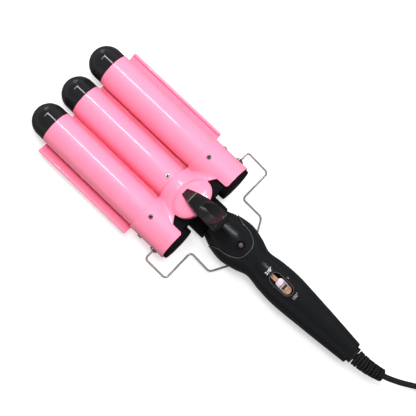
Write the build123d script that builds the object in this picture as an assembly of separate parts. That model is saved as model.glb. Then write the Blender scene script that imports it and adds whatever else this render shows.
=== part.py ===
from build123d import *
import math
import os

os.makedirs("parts", exist_ok=True)

# Hair waver, millimetres. +X is the right-hand side with the thumb lever in front, +Y runs along the
# tool to the barrel tips, +Z is the lever side. The tool lies on its back on z = 0.

# ---- barrels and trough plate -------------------------------------------------------------------
barrel_r = 16.0            # outside radius of the three barrels
barrel_wall = 1.2
barrel_gap = 3.2           # between neighbouring barrels, seen from the front
set_back = 6.4             # middle barrel's axis behind the outer ones
barrel_tip = 163.1         # tip end of the pink tubes
plate_start = 56.8         # handle end of the trough plate and the middle tube
wing_inset = 1.4           # wings stop short of the barrel tips
trough_gap = 1.2           # room for hair round the outer barrels
plate_wall = 1.2
wing_reach = 60.5          # outside edge of the wings from the middle plane
wing_drop = 7.5            # the wings' beads behind the outer barrel axes
bead_r = 1.25
trough_first = 198.0       # degrees round the outer barrel, where the web joins
trough_last = 312.0        # degrees, where the wing leaves

# ---- caps ---------------------------------------------------------------------------------------
cap_step = 0.3             # caps are this much slimmer than the barrels
cap_straight = 7.7
cap_wall = 1.8
cap_plug_len = 6.0
fit_gap = 0.2              # sliding fit between moulded parts
seat_gap = 0.05            # between faces that are clamped together

# ---- heaters ------------------------------------------------------------------------------------
heater_w = 14.0
heater_t = 2.6
heater_len = 68.0
spreader_end_gap = 0.3

# ---- cover over the outer barrels' ends ---------------------------------------------------------
cover_y = 18.4             # its handle end
cover_len = 37.5
cover_wall = 1.4
cover_arch = 1.7           # rise of the tip edge at the middle
bridge_gap = 1.7           # bridge over the middle barrel
bridge_wall = 1.5
notch_x = 27.0             # outer side of the notches by the hub
notch_side = 10.9          # straight height of the notch
notch_top = 15.6
notch_in_x = 20.2
hub_a = 19.5               # half width of the raised hub
hub_b = 14.0               # half length
hub_mid = 14.5             # hub's middle from the cover's handle end
hub_low = 14.5             # hub's top over the outer axes at its tip end
hub_high = 25.5            # and at its handle end
hub_wall = 1.8
hub_crown = 60.0           # radius of the hub's domed top

# ---- yoke, hinge and carrier --------------------------------------------------------------------
plug_out = 2.8             # end plugs stand out of the cover
plug_len = 18.0            # big part of the plugs inside the cover
spigot_len = 16.0
arm_low = 2.6              # handle edge of the yoke arm from the cover's end
arm_len = 12.0
arm_under = 5.6            # arm's underside over the outer axes
arm_t = 7.0
hinge_dy = 9.5             # hinge axis from the cover's handle end
hinge_dz = -3.0            # hinge axis from the outer axes' plane
pin_r = 2.5
bush_wall = 1.0
run_gap = 0.05             # radial running clearance
ear_r = 6.6
ear_t = 3.4
ear_hold = 0.6             # the ears reach this far past the plugs' inner sides
ear_run = 0.4              # between the ears and the carrier
boss_r = 7.0
neck_front = 0.6           # neck plate's front over the outer axes' plane
neck_low = 6.9             # handle end of the neck plate
tongue_w = 10.5
tongue_t = 12.0
tongue_len = 26.5
spring_slot = 7.0
spring_r = 4.9
spring_wire = 0.65
spring_turns = 6.5

# ---- thumb lever --------------------------------------------------------------------------------
lever_tip_y = 43.9
lever_tip_z = 15.2         # over the outer axes' plane
lever_end_y = -1.0
lever_end_z = 50.0
lever_w_end = 9.3
lever_w_tip = 2.6
lever_t = 8.5
dish_r = 26.0
dish_depth = 2.4

# ---- handle -------------------------------------------------------------------------------------
handle_wall = 2.3
handle_slices = 22
neck_w = 14.6
neck_d = 13.2
ear_step = 0.6             # the handle stands this much proud of the neck housing
housing_low = -3.8         # where the neck housing's sleeve ends and its tongue begins
shoulder_w = 18.4
shoulder_d = 14.8
bulb_y = -18.5
bulb_w = 20.5
bulb_d = 17.0
hip_y = -31.9
hip_w = 18.0
hip_d = 16.0
waist_y = -45.5
waist_w = 13.9
waist_d = 13.6
swell_y = -59.0
swell_w = 15.7
swell_d = 15.5
grip_y = -74.0
grip_w = 16.6
grip_d = 16.0
lower_y = -107.8
lower_w = 14.4
lower_d = 14.0
tail_y = -153.2
tail_w = 10.3
tail_d = 10.1
tongue_top_w = 16.6        # housing tongue: half width at its start and its lower round end
tongue_end_w = 11.5
tongue_end_y = -32.4
lamp_y = -23.9
lamp_r = 2.2
lamp_recess_r = 3.4

# ---- switch -------------------------------------------------------------------------------------
switch_y = -71.0
slot_half = 11.6           # half length and half width of the opening
slot_w = 4.9
rim_w = 1.1
rim_rise = 0.7
knob_half = 5.6
knob_w = 3.9
switch_travel = 5.0
slide_t = 1.0
slide_sunk = 4.6            # plate's top under the handle's front
slide_over = 0.5            # plate past the opening at the ends of its travel
switch_body_w = 6.0
switch_body_half = 14.0
board_w = 8.6
board_t = 1.6
board_y0 = -104.0
board_y1 = -48.0

# ---- small parts --------------------------------------------------------------------------------
screw_head_r = 2.0
screw_head_h = 1.2
screw_shank_r = 1.2
cover_screw_dy = 28.8
side_screw_dy = 26.4
plate_screw_y = 62.1

# ---- stand --------------------------------------------------------------------------------------
wire_r = 0.9
stand_pivot_dy = 9.5       # from the cover's handle end
stand_out_x = 63.6
stand_step_y = 3.1
stand_in_x = 31.6
stand_bend_y = -18.6
stand_back_y = -29.2
stand_back_x = 12.0
stand_bend_r = 3.2
stand_bow_r = 9.0
bush_flange_r = 3.5
bush_flange_t = 1.0
bush_r = 2.1
cup_depth = 12.0            # the stand bushes' cups end this far from the barrel axes

# ---- cord ---------------------------------------------------------------------------------------
cord_r = 2.5
collar_r = 7.6
collar_len = 3.4
relief_r0 = 7.3
relief_r1 = 5.6
relief_len = 28.4
relief_turn = 26.0         # degrees of droop and lean
relief_roll = 47.0         # direction of that turn, from +X towards -Z
relief_steps = 5
coil_x = 73.0
coil_y = -230.0
coil_rings = 3
coil_layers = 4
coil_mid_r = 27.5
coil_meet = -104.0          # degrees round the coil where the cord joins it
coil_part = -20.0           # and where the short end leaves it
tie_t = 0.8
tie_w = 6.0
plug_body_len = 32.0
plug_thick = 13.6
plug_wide = 26.0
plug_nose_len = 22.0
prong_r = 2.0
prong_len = 19.0
prong_pitch = 19.0

# ---- derived places -----------------------------------------------------------------------------
barrel_pitch = 2 * barrel_r + barrel_gap
middle_z = barrel_r
outer_z = middle_z + set_back
barrel_in = barrel_r - barrel_wall
barrel_foot = cover_y + plug_len
hinge_y = cover_y + hinge_dy
hinge_z = outer_z + hinge_dz
spigot_r = barrel_in - fit_gap
plug_r = barrel_r
ear_in = barrel_pitch - plug_r + ear_hold - ear_t
carrier_w = ear_in - ear_run
cover_in = plug_r + fit_gap
cover_r = cover_in + cover_wall
cap_r = barrel_r - cap_step
handle_z = outer_z
coil_r0 = coil_mid_r - coil_rings * cord_r
coil_r1 = coil_mid_r + coil_rings * cord_r
coil_h = 2 * cord_r * coil_layers


def rod_y(r, y0, y1, x=0.0, z=0.0):
    """Round bar along Y from y0 to y1."""
    return Pos(x, (y0 + y1) / 2, z) * Rot(90, 0, 0) * Cylinder(r, abs(y1 - y0))


def rod_x(r, x0, x1, y=0.0, z=0.0):
    """Round bar along X from x0 to x1."""
    return Pos((x0 + x1) / 2, y, z) * Rot(0, 90, 0) * Cylinder(r, abs(x1 - x0))


def rod_z(r, z0, z1, x=0.0, y=0.0):
    """Round bar along Z from z0 to z1."""
    return Pos(x, y, (z0 + z1) / 2) * Cylinder(r, abs(z1 - z0))


def block(x0, x1, y0, y1, z0, z1):
    """Box between two corners."""
    return Pos((x0 + x1) / 2, (y0 + y1) / 2, (z0 + z1) / 2) * Box(abs(x1 - x0), abs(y1 - y0), abs(z1 - z0))


def screw(length):
    """Pan-head screw with a cross recess, its head's seat at the origin, head towards +Z."""
    head = Pos(0, 0, screw_head_h / 2) * Cylinder(screw_head_r, screw_head_h)
    head = fillet(head.edges().group_by(Axis.Z)[-1], screw_head_h * 0.6)
    shank = Pos(0, 0, -length / 2) * Cylinder(screw_shank_r, length)
    cross_z = screw_head_h
    cross = Pos(0, 0, cross_z) * (Box(2.2, 0.5, 1.2) + Box(0.5, 2.2, 1.2))
    return head + shank - cross


def write(name, shape):
    """One STEP file for each sub-part."""
    export_step(shape, "parts/" + name + ".step")


# ---- barrels ------------------------------------------------------------------------------------
def outer_barrel(side):
    tube = rod_y(barrel_r, barrel_foot, barrel_tip, side * barrel_pitch, outer_z)
    tube -= rod_y(barrel_in, barrel_foot - 1, barrel_tip + 1, side * barrel_pitch, outer_z)
    screw_y = cover_y + cover_screw_dy
    side_y = cover_y + side_screw_dy
    tube -= rod_z(screw_shank_r + fit_gap, outer_z, outer_z + barrel_r + 1, side * barrel_pitch, screw_y)
    far_x = side * (barrel_pitch + barrel_r + 1)
    tube -= rod_x(screw_shank_r + fit_gap, side * barrel_pitch, far_x, side_y, outer_z)
    return tube


def trough_profile():
    """Section of the extruded lower plate: middle tube, two troughs, two wings with rolled beads."""
    r_in = barrel_r + trough_gap
    r_out = r_in + plate_wall
    shape = Pos(0, middle_z) * Circle(barrel_r)
    for side in (1, -1):
        # the trough is a ring sector round the outer barrel
        ring = Pos(side * barrel_pitch, outer_z) * (Circle(r_out) - Circle(r_in))
        reach = 3 * r_out
        a0 = math.radians(trough_first)
        a1 = math.radians(trough_last)
        mid = math.radians((trough_first + trough_last) / 2)
        corners = [(0, 0)]
        for a in (a0, (a0 + mid) / 2, mid, (a1 + mid) / 2, a1):
            corners.append((side * reach * math.cos(a), reach * math.sin(a)))
        sector = make_face(Polyline(*corners, close=True))
        shape += ring & (Pos(side * barrel_pitch, outer_z) * sector)
        # web from the middle tube to the trough's inner end
        web_x = barrel_pitch + (r_in + plate_wall / 2) * math.cos(a0)
        web_z = outer_z + (r_in + plate_wall / 2) * math.sin(a0)
        web = Polyline(
            (side * (barrel_r - plate_wall), middle_z),
            (side * web_x, web_z + plate_wall / 2),
            (side * (web_x + plate_wall * 0.4), web_z - plate_wall),
            (side * (barrel_r - plate_wall), middle_z - 2 * plate_wall),
            close=True,
        )
        shape += make_face(web)
        # wing from the trough's outer end up to the bead
        in_x = barrel_pitch + r_in * math.cos(a1)
        in_z = outer_z + r_in * math.sin(a1)
        out_x = barrel_pitch + r_out * math.cos(a1)
        out_z = outer_z + r_out * math.sin(a1)
        bead_x = wing_reach - bead_r
        bead_z = outer_z - wing_drop
        wing = Polyline(
            (side * (in_x - 0.2), in_z),
            (side * bead_x, bead_z),
            (side * bead_x, bead_z - plate_wall),
            (side * out_x, out_z),
            close=True,
        )
        shape += make_face(wing)
        shape += Pos(side * bead_x, bead_z) * Circle(bead_r)
    shape -= Pos(0, middle_z) * Circle(barrel_in)
    return shape


def trough_plate():
    full = Plane(origin=(0, barrel_tip, 0), x_dir=(1, 0, 0), z_dir=(0, -1, 0)) * trough_profile()
    body = extrude(full, barrel_tip - plate_start)
    # the wings and troughs stop short of the middle tube's tip
    trim_z = outer_z + barrel_r
    for side in (1, -1):
        x0 = side * (barrel_r + 0.01)
        body -= block(x0, side * (wing_reach + 2), barrel_tip - wing_inset, barrel_tip + 1, -1, trim_z)
    body -= rod_z(screw_shank_r + fit_gap, middle_z, middle_z + barrel_r + 1, 0, plate_screw_y)
    return body


def cap(x, z):
    """Domed end cap with a hollow inside and a plug that enters the barrel."""
    dome_y = barrel_tip + cap_straight
    in_y = barrel_tip - cap_plug_len
    spigot = barrel_in - fit_gap
    bore = spigot - cap_wall
    slant = math.sqrt(0.5)
    edges = [
        Polyline((bore, dome_y), (bore, in_y), (spigot, in_y), (spigot, barrel_tip), (cap_r, barrel_tip), (cap_r, dome_y)),
        ThreePointArc((cap_r, dome_y), (cap_r * slant, dome_y + cap_r * slant), (0, dome_y + cap_r)),
        Line((0, dome_y + cap_r), (0, dome_y + bore)),
        ThreePointArc((0, dome_y + bore), (bore * slant, dome_y + bore * slant), (bore, dome_y)),
    ]
    return Pos(x, 0, z) * revolve(make_face(edges), Axis.Y)


def heater(x, z, foot):
    """Ceramic heating strip, centred in its barrel."""
    y0 = (foot + barrel_tip - cap_plug_len - heater_len) / 2
    strip = block(x - heater_w / 2, x + heater_w / 2, y0, y0 + heater_len, z - heater_t / 2, z + heater_t / 2)
    return fillet(strip.edges().filter_by(Axis.Y), 0.6)


def spreader(x, z, foot):
    """Two half-round aluminium blocks that clamp the heater and fill the barrel."""
    y0 = foot + spreader_end_gap
    y1 = barrel_tip - cap_plug_len - spreader_end_gap
    r = barrel_in - fit_gap
    bar = rod_y(r, y0, y1, x, z)
    slit = heater_t + 2 * seat_gap
    bar -= block(x - r - 1, x + r + 1, y0 - 1, y1 + 1, z - slit / 2, z + slit / 2)
    # weight-saving channels along each half
    for s in (1, -1):
        bar -= rod_y(4.2, y0 - 1, y1 + 1, x, z + s * (heater_t / 2 + 6.6))
    return bar


# ---- cover --------------------------------------------------------------------------------------
def hub_solid(grow):
    """Raised elliptical hub under a tilted crowned top. grow is the offset of its wall and top."""
    mid_y = cover_y + hub_mid
    prism = Pos(0, mid_y, outer_z) * extrude(Ellipse(hub_a + grow, hub_b + grow), 40)
    tilt = math.atan2(hub_high - hub_low, 2 * hub_b)
    mid_h = outer_z + (hub_low + hub_high) / 2 + 0.9
    # the crown's centre is under the hub's middle, square to its slope
    centre_y = mid_y - hub_crown * math.sin(tilt)
    centre_z = mid_h - hub_crown * math.cos(tilt)
    return prism & Pos(0, centre_y, centre_z) * Sphere(hub_crown + grow)


def notch_prism(z0, z1):
    """Plan of the two notches and the room for the yoke, as a prism."""
    y0 = cover_y
    inner_y = y0 + notch_top + 3.0
    pts = [
        (-notch_x, y0 - 1),
        (-notch_x, y0 + notch_side),
        (-notch_in_x, y0 + notch_top),
        (-hub_a + 3, inner_y),
        (hub_a - 3, inner_y),
        (notch_in_x, y0 + notch_top),
        (notch_x, y0 + notch_side),
        (notch_x, y0 - 1),
    ]
    face = make_face(Polyline(*pts, close=True))
    return Pos(0, 0, z0) * extrude(face, z1 - z0)


def cover():
    y0 = cover_y
    y1 = cover_y + cover_len
    shell = rod_y(cover_r, y0, y1, barrel_pitch, outer_z) + rod_y(cover_r, y0, y1, -barrel_pitch, outer_z)
    # bridge: part of a ring round the middle barrel, with an arched tip edge
    r_in = barrel_r + bridge_gap
    r_out = r_in + bridge_wall
    bridge_y1 = y1 + cover_arch
    ring = rod_y(r_out, y0 + notch_top, bridge_y1, 0, middle_z)
    ring -= rod_y(r_in, y0, bridge_y1 + 1, 0, middle_z)
    ring -= block(-r_out - 1, r_out + 1, y0, bridge_y1 + 1, middle_z - r_out - 1, outer_z + 0.5)
    half = barrel_pitch - cover_r
    arch_r = (half ** 2 + cover_arch ** 2) / (2 * cover_arch)
    ring &= Pos(0, bridge_y1 - arch_r, outer_z) * Cylinder(arch_r, 60)
    shell += ring
    shell -= notch_prism(outer_z - cover_r - 1, outer_z + 40)
    # hub, hollow, open below
    hub = hub_solid(0.0) - hub_solid(-hub_wall)
    hub -= block(-notch_x, notch_x, y0 - 3, y0 + arm_low + arm_len + 2, 0, outer_z + arm_under + arm_t + 0.4)
    shell += hub
    shell -= hub_solid(-hub_wall)
    for side in (1, -1):
        x = side * barrel_pitch
        shell -= rod_y(cover_in, y0 - 1, y1 + 5, x, outer_z)
        shell -= rod_z(screw_shank_r + fit_gap, outer_z, outer_z + 30, x, y0 + cover_screw_dy)
        far_x = side * (barrel_pitch + cover_r + 3)
        shell -= rod_x(screw_shank_r + fit_gap, x, far_x, y0 + side_screw_dy, outer_z)
        shell -= rod_x(bush_r + fit_gap, x, far_x, y0 + stand_pivot_dy, outer_z)
    # keep clear of the middle barrel
    shell -= rod_y(r_in, y0 - 1, bridge_y1 + 1, 0, middle_z)
    return shell


# ---- yoke, carrier and hinge --------------------------------------------------------------------
def yoke():
    y0 = cover_y - plug_out
    y1 = cover_y + plug_len - seat_gap
    body = None
    for side in (1, -1):
        x = side * barrel_pitch
        disc = rod_y(plug_r, y0, y1, x, outer_z)
        disc = fillet(disc.edges().sort_by(Axis.Y)[0], 0.8)
        disc += rod_y(spigot_r, y1, y1 + spigot_len, x, outer_z)
        body = disc if body is None else body + disc
    arm_y0 = cover_y + arm_low
    arm_z0 = outer_z + arm_under
    arm = block(-barrel_pitch, barrel_pitch, arm_y0, arm_y0 + arm_len, arm_z0, arm_z0 + arm_t)
    body += arm & (notch_prism(0, 100) + block(-40, 40, arm_y0, arm_y0 + arm_len - 4, 0, outer_z + 11))
    ear_out = ear_in + ear_t
    for side in (1, -1):
        ear = rod_x(ear_r, side * ear_in, side * ear_out, hinge_y, hinge_z)
        top = block(side * ear_in, side * ear_out, hinge_y - ear_r, hinge_y + ear_r, hinge_z, arm_z0 + 0.5)
        body += ear + top
    for side in (1, -1):
        hole_end = side * (ear_out - 0.4)
        body -= rod_x(pin_r + bush_wall, side * (ear_in - 1), hole_end, hinge_y, hinge_z)
        # cups behind the stand bushes, and holes for the cover's screws
        x = side * barrel_pitch
        cup_x = side * (barrel_pitch + cup_depth)
        far_x = side * (barrel_pitch + cover_r + 2.4)
        body -= rod_x(bush_r + fit_gap, cup_x, far_x, cover_y + stand_pivot_dy, outer_z)
        body -= rod_z(screw_shank_r, outer_z + 6, outer_z + 20, x, cover_y + cover_screw_dy)
        side_x = side * (barrel_pitch + 6)
        body -= rod_x(screw_shank_r, side_x, far_x, cover_y + side_screw_dy, outer_z)
        # wire way through the plug
        body -= rod_y(4.0, cover_y + 8, y1 + spigot_len + 1, x, outer_z - 4)
    return body


def hinge_bushes():
    """Plain sleeves pressed into the yoke's ears."""
    out = []
    for side in (1, -1):
        x0 = side * ear_in
        x1 = side * (ear_in + ear_t - 0.5)
        sleeve = rod_x(pin_r + bush_wall - 0.01, x0, x1, hinge_y, hinge_z)
        sleeve -= rod_x(pin_r + run_gap, x0 - side, x1 + side, hinge_y, hinge_z)
        out.append(sleeve)
    return Compound(out)


def hinge_pin():
    x1 = ear_in + ear_t - 0.6
    pin = rod_x(pin_r, -x1, x1, hinge_y, hinge_z)
    return chamfer(pin.edges().filter_by(GeomType.CIRCLE), 0.3)


def neck_carrier():
    """Moulded carrier: spigot for the middle tube, hinge boss, neck plate and the tongue in the handle."""
    top_y = plate_start - seat_gap
    drum_y = cover_y + arm_low + arm_len + 2.5
    body = rod_y(carrier_w, drum_y, top_y, 0, middle_z)
    body += block(-carrier_w + 3, carrier_w - 3, neck_low, top_y, 0, middle_z)
    body += rod_y(spigot_r, top_y, top_y + spigot_len, 0, middle_z)
    # neck block, lower than the yoke's arm
    neck_z = outer_z + neck_front
    neck = block(-carrier_w, carrier_w, neck_low, drum_y + 2, 0, neck_z)
    neck = fillet(neck.edges().filter_by(Axis.Y).group_by(Axis.Z)[0], 3.0)
    body += neck
    body += rod_x(boss_r, -carrier_w, carrier_w, hinge_y, hinge_z)
    # room for the yoke arm in front of the drum
    side_x = carrier_w + 4
    body -= block(-side_x, side_x, hinge_y + boss_r, drum_y, outer_z + 3, outer_z + 20)
    # slot for the spring
    body -= block(-spring_slot, spring_slot, hinge_y - boss_r - 1, hinge_y + boss_r + 1, hinge_z - 8, outer_z + 9)
    body -= rod_x(pin_r + 0.01, -carrier_w - 1, carrier_w + 1, hinge_y, hinge_z)
    # tongue inside the neck housing, with the wire way
    tongue_z = handle_z
    tongue = block(-tongue_w, tongue_w, neck_low - tongue_len, neck_low, tongue_z - tongue_t / 2, tongue_z + tongue_t / 2)
    body += tongue
    body -= rod_y(3.2, neck_low - tongue_len - 1, neck_low + 8, 0, tongue_z - 1)
    body -= rod_z(screw_shank_r, 0, tongue_z - 3.5, 0, neck_low - 8)
    body -= rod_z(screw_shank_r, middle_z + 6, middle_z + 20, 0, plate_screw_y)
    return body


def hinge_spring():
    """Torsion spring round the pin; its legs run on along the ends of the winding."""
    length = 2 * spring_slot - 3.0
    leg = boss_r - 0.5
    winding = Helix(length / spring_turns, length, spring_r)
    start = winding @ 0
    finish = winding @ 1
    foot = start - (winding % 0) * leg
    path = Wire([Line(foot, start), winding.edge(), Line(finish, finish + (winding % 1) * leg)])
    coil = sweep(Plane(origin=foot, z_dir=winding % 0) * Circle(spring_wire), path=path)
    return Pos(-length / 2, hinge_y, hinge_z) * Rot(0, 90, 0) * coil


# ---- thumb lever --------------------------------------------------------------------------------
def thumb_lever():
    """Sloping lever: a side outline made as wide as its plan, with a dished thumb rest."""
    ty = lever_tip_y
    tz = outer_z + lever_tip_z
    ey = lever_end_y
    ez = outer_z + lever_end_z
    slope = math.atan2(ez - tz, ty - ey)
    # unit vectors: along the lever to its end, and square to it, forward
    ay = -math.cos(slope)
    az = math.sin(slope)
    ny = math.sin(slope)
    nz = math.cos(slope)
    length = math.hypot(ez - tz, ty - ey)

    def at(s, d):
        return (ty + ay * s + ny * d, tz + az * s + nz * d)

    side_pts = [at(0, 0), at(length, 0), at(length + 2.6, -3.2), at(length + 1.6, -lever_t)]
    side_pts += [at(length * 0.55, -lever_t - 1.0), at(length * 0.28, -lever_t - 6.0), at(0, -2.0)]
    side = make_face(Polyline(*side_pts, close=True))
    profile = Plane(origin=(-20, 0, 0), x_dir=(0, 1, 0), z_dir=(1, 0, 0)) * side
    body = extrude(profile, 40)
    plan_pts = [(-lever_w_tip, ty + 0.5), (-lever_w_end * 0.62, ty - 12), (-lever_w_end * 0.86, ty - 23)]
    plan_pts += [(-lever_w_end, ey + 8)]
    left = Spline(*plan_pts)
    right = mirror(left, Plane.YZ)
    low = ThreePointArc(plan_pts[-1], (0, ey - 5.0), (-plan_pts[-1][0], plan_pts[-1][1]))
    tip = ThreePointArc(plan_pts[0], (0, ty + 2.2), (-plan_pts[0][0], plan_pts[0][1]))
    plan = extrude(make_face([left, low, right, tip]), 120)
    body &= plan
    # the dish for the thumb
    dish_s = length - 14.0
    cy, cz = at(dish_s, dish_r - dish_depth)
    body -= Pos(0, cy, cz) * Sphere(dish_r)
    body -= hub_solid(seat_gap)
    hub_front = cover_y + hub_mid
    body -= block(-30, 30, hub_front, hub_front + 60, 0, outer_z + hub_low)
    return body


# ---- handle -------------------------------------------------------------------------------------
def handle_sections():
    """Stations along the handle: y, half width, half depth."""
    return [
        (neck_low - 0.4, neck_w, neck_d),
        (housing_low, shoulder_w, shoulder_d),
        (bulb_y, bulb_w, bulb_d),
        (hip_y, hip_w, hip_d),
        (waist_y, waist_w, waist_d),
        (swell_y, swell_w, swell_d),
        (grip_y, grip_w, grip_d),
        (lower_y, lower_w, lower_d),
        (tail_y, tail_w, tail_d),
    ]


def handle_size(y, column):
    """Half width (column 1) or half depth (column 2) at y: a cubic through the stations with no overshoot."""
    stations = sorted(handle_sections())
    ys = [row[0] for row in stations]
    values = [row[column] for row in stations]
    count = len(ys)
    steps = [(values[i + 1] - values[i]) / (ys[i + 1] - ys[i]) for i in range(count - 1)]
    slopes = [steps[0]]
    for a, b in zip(steps, steps[1:]):
        slopes.append(0.0 if a * b <= 0 else 2 * a * b / (a + b))
    slopes.append(steps[-1])
    i = sum(1 for v in ys[1:-1] if v <= y)
    h = ys[i + 1] - ys[i]
    t = (y - ys[i]) / h
    start = values[i] * (1 + 2 * t) * (1 - t) ** 2 + slopes[i] * h * t * (1 - t) ** 2
    finish = values[i + 1] * t * t * (3 - 2 * t) + slopes[i + 1] * h * t * t * (t - 1)
    return start + finish


def handle_body(shrink, end_wall):
    """Loft of even sections. shrink sets the wall and end_wall closes the tail."""
    top = neck_low - 0.4
    low = tail_y + end_wall
    faces = []
    for i in range(handle_slices + 1):
        y = top + (low - top) * i / handle_slices
        plane = Plane(origin=(0, y, handle_z), x_dir=(1, 0, 0), z_dir=(0, -1, 0))
        faces.append(plane * Ellipse(handle_size(y, 1) - shrink, handle_size(y, 2) - shrink))
    return loft(faces)


def tongue_prism(grow, z0, z1):
    """Plan of the housing's tongue: straight sides that close in a round end."""
    w0 = tongue_top_w + grow
    w1 = tongue_end_w + grow
    y0 = housing_low + 2
    y1 = tongue_end_y - grow
    side_y = y1 + w1 * 0.72
    left = Spline((-w0 - 1.8, y0), (-w0, y0 - 6), (-w0 + 2.2, side_y + 7), (-w1, side_y))
    right = mirror(left, Plane.YZ)
    end = ThreePointArc((-w1, side_y), (0, y1), (w1, side_y))
    top = Line((-w0 - 1.8, y0), (w0 + 1.8, y0))
    return Pos(0, 0, z0) * extrude(make_face([left, end, right, top]), z1 - z0)


def stadium(half_len, half_w, z0, z1, y=0.0):
    """Slot-shaped prism along Y."""
    face = Pos(0, y) * Rot(0, 0, 90) * SlotOverall(2 * half_len, 2 * half_w)
    return Pos(0, 0, z0) * extrude(face, z1 - z0)


def screw_tower_ys():
    """Places of the screws that hold the two handle shells."""
    return [hip_y - 6.0, lower_y - 8.0]


def handle_parts():
    outer = handle_body(0.0, 0.0)
    inner = handle_body(handle_wall, handle_wall)
    shell = outer - inner
    front_all = block(-40, 40, tail_y - 5, housing_low, handle_z, handle_z + 40)
    rear_all = block(-40, 40, tail_y - 5, housing_low, handle_z - 40, handle_z - seat_gap)
    sleeve_all = block(-40, 40, housing_low + seat_gap, neck_low + 5, -20, 80)
    tongue = tongue_prism(0.0, handle_z, handle_z + 40)
    tongue_hole = tongue_prism(seat_gap, handle_z - 1, handle_z + 40)
    sunk = handle_body(ear_step, 0.0)
    shell_in = sunk - inner

    tongue_all = block(-40, 40, tail_y, housing_low + 3, handle_z, handle_z + 40)
    housing = (shell_in & sleeve_all) + (shell_in & tongue_all & tongue)
    housing -= block(-tongue_w - 0.1, tongue_w + 0.1, neck_low - 6, neck_low + 2,
                     handle_z - tongue_t / 2 - 0.1, handle_z + tongue_t / 2 + 0.1)
    lamp_z = handle_z + bulb_d
    housing -= rod_z(lamp_recess_r, lamp_z - ear_step - 0.9, lamp_z + 2, 0, lamp_y)
    housing -= rod_z(lamp_r + 0.05, handle_z, lamp_z + 2, 0, lamp_y)
    tube = rod_z(lamp_r + 1.6, lamp_z - handle_wall - 5, lamp_z - handle_wall + 0.5, 0, lamp_y)
    housing += tube - rod_z(lamp_r + 0.05, handle_z, lamp_z + 2, 0, lamp_y)
    housing -= rod_z(screw_shank_r + fit_gap, handle_z - 20, handle_z, 0, neck_low - 8)

    front = (shell & front_all) - tongue_hole
    rear = shell & rear_all
    end_hole = rod_y(collar_r - 1.5, tail_y - 1, tail_y + handle_wall + 1, 0, handle_z)
    front -= end_hole
    rear -= end_hole
    for y in screw_tower_ys():
        tower = rod_z(3.0, handle_z + seat_gap, handle_z + 30, 0, y) & inner
        front += tower - rod_z(screw_shank_r, handle_z - 1, handle_z + 7, 0, y)
        post = rod_z(3.4, handle_z - 30, handle_z, 0, y) & inner
        rear += post
        rear -= rod_z(screw_head_r + 0.3, handle_z - 40, handle_z - 6.0, 0, y)
        rear -= rod_z(screw_shank_r + 0.1, handle_z - 40, handle_z + 1, 0, y)
    # posts under the circuit board
    for y in (board_y0 + 6, board_y1 - 6):
        post = rod_z(2.8, handle_z - 30, handle_z - 3.0 - board_t, 0, y) & inner
        rear += post - rod_z(screw_shank_r, handle_z - 10, handle_z, 0, y)
    # clamp saddle for the cord
    saddle = block(-7.4, 7.4, clamp_y() - 3, clamp_y() + 3, handle_z - 30, handle_z - cord_r) & inner
    rear += saddle
    for x in (-5.2, 5.2):
        rear -= rod_z(0.9, handle_z - 8, handle_z, x, clamp_y())
    # switch opening, and the pocket that guides the slide under it
    run = slot_half + 2 * switch_travel + slide_over + 0.5
    guide = slot_w + fit_gap
    front -= block(-guide, guide, switch_y - run, switch_y + run, handle_z, slide_top() + 0.42)
    front -= stadium(slot_half + rim_w * 0.7, slot_w + rim_w * 0.7, handle_z, handle_z + 40, switch_y)
    return housing, front, rear


def clamp_y():
    return tail_y + 14.0


def lamp_lens():
    top = handle_z + bulb_d - ear_step
    body = rod_z(lamp_r, top - 3.0, top - 0.7, 0, lamp_y)
    ball_r = lamp_r * 1.5
    crown = Pos(0, lamp_y, top - 0.7 - ball_r + 0.8) * Sphere(ball_r)
    body += crown & rod_z(lamp_r, top - 1.5, top + 1, 0, lamp_y)
    return body


def lamp():
    top = handle_z + bulb_d - ear_step - 3.1
    bulb = rod_z(lamp_r - 0.2, top - 8.0, top, 0, lamp_y)
    return fillet(bulb.edges().group_by(Axis.Z)[-1], 1.2)


def switch_bezel():
    top = handle_z + grip_d + rim_rise
    half = slot_half + rim_w * 0.6
    wide = slot_w + rim_w * 0.6
    body = stadium(half, wide, slide_top() + 0.45, top - 0.4, switch_y)
    flange = stadium(slot_half + rim_w, slot_w + rim_w, handle_z + grip_d - 0.6, top, switch_y)
    flange = fillet(flange.edges().group_by(Axis.Z)[-1], 0.4)
    flange -= handle_body(-seat_gap, 0.0)
    body += flange
    body -= stadium(slot_half, slot_w, handle_z, handle_z + 40, switch_y)
    return body


def slide_top():
    return handle_z + grip_d - slide_sunk


def switch_slide():
    """Ribbed plate under the knob, always longer than the opening, with the post into the switch."""
    half = slot_half + switch_travel + slide_over
    top = slide_top()
    plate = block(-slot_w, slot_w, switch_y - half, switch_y + half, top - slide_t, top)
    ribs = []
    step = 1.5
    y = switch_y - half + 1.5
    while y < switch_y + half - 1:
        if abs(y - switch_y) > knob_half + 0.6:
            ribs.append(block(-slot_w + 1.2, slot_w - 1.2, y - 0.3, y + 0.3, top, top + 0.35))
        y += step
    for rib in ribs:
        plate += rib
    plate += block(-1.2, 1.2, switch_y - 1.5, switch_y + 1.5, top - slide_t - 3.0, top - slide_t)
    return plate


def switch_knob():
    top = slide_top() + seat_gap
    base = stadium(knob_half, knob_w, top, handle_z + grip_d - 0.4, switch_y)
    ridge = rod_x(2.6, -knob_w + 0.2, knob_w - 0.2, switch_y, handle_z + grip_d - 0.9)
    base += ridge
    hollow = rod_x(3.4, -knob_w + 0.8, knob_w - 0.8, switch_y - knob_half + 0.4, handle_z + grip_d + 1.2)
    base -= hollow
    return base


def board():
    z1 = handle_z - 3.0
    plate = block(-board_w, board_w, board_y0, board_y1, z1 - board_t, z1)
    for y in (board_y0 + 6, board_y1 - 6):
        plate -= rod_z(screw_shank_r + 0.1, z1 - 4, z1 + 1, 0, y)
    return plate


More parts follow.
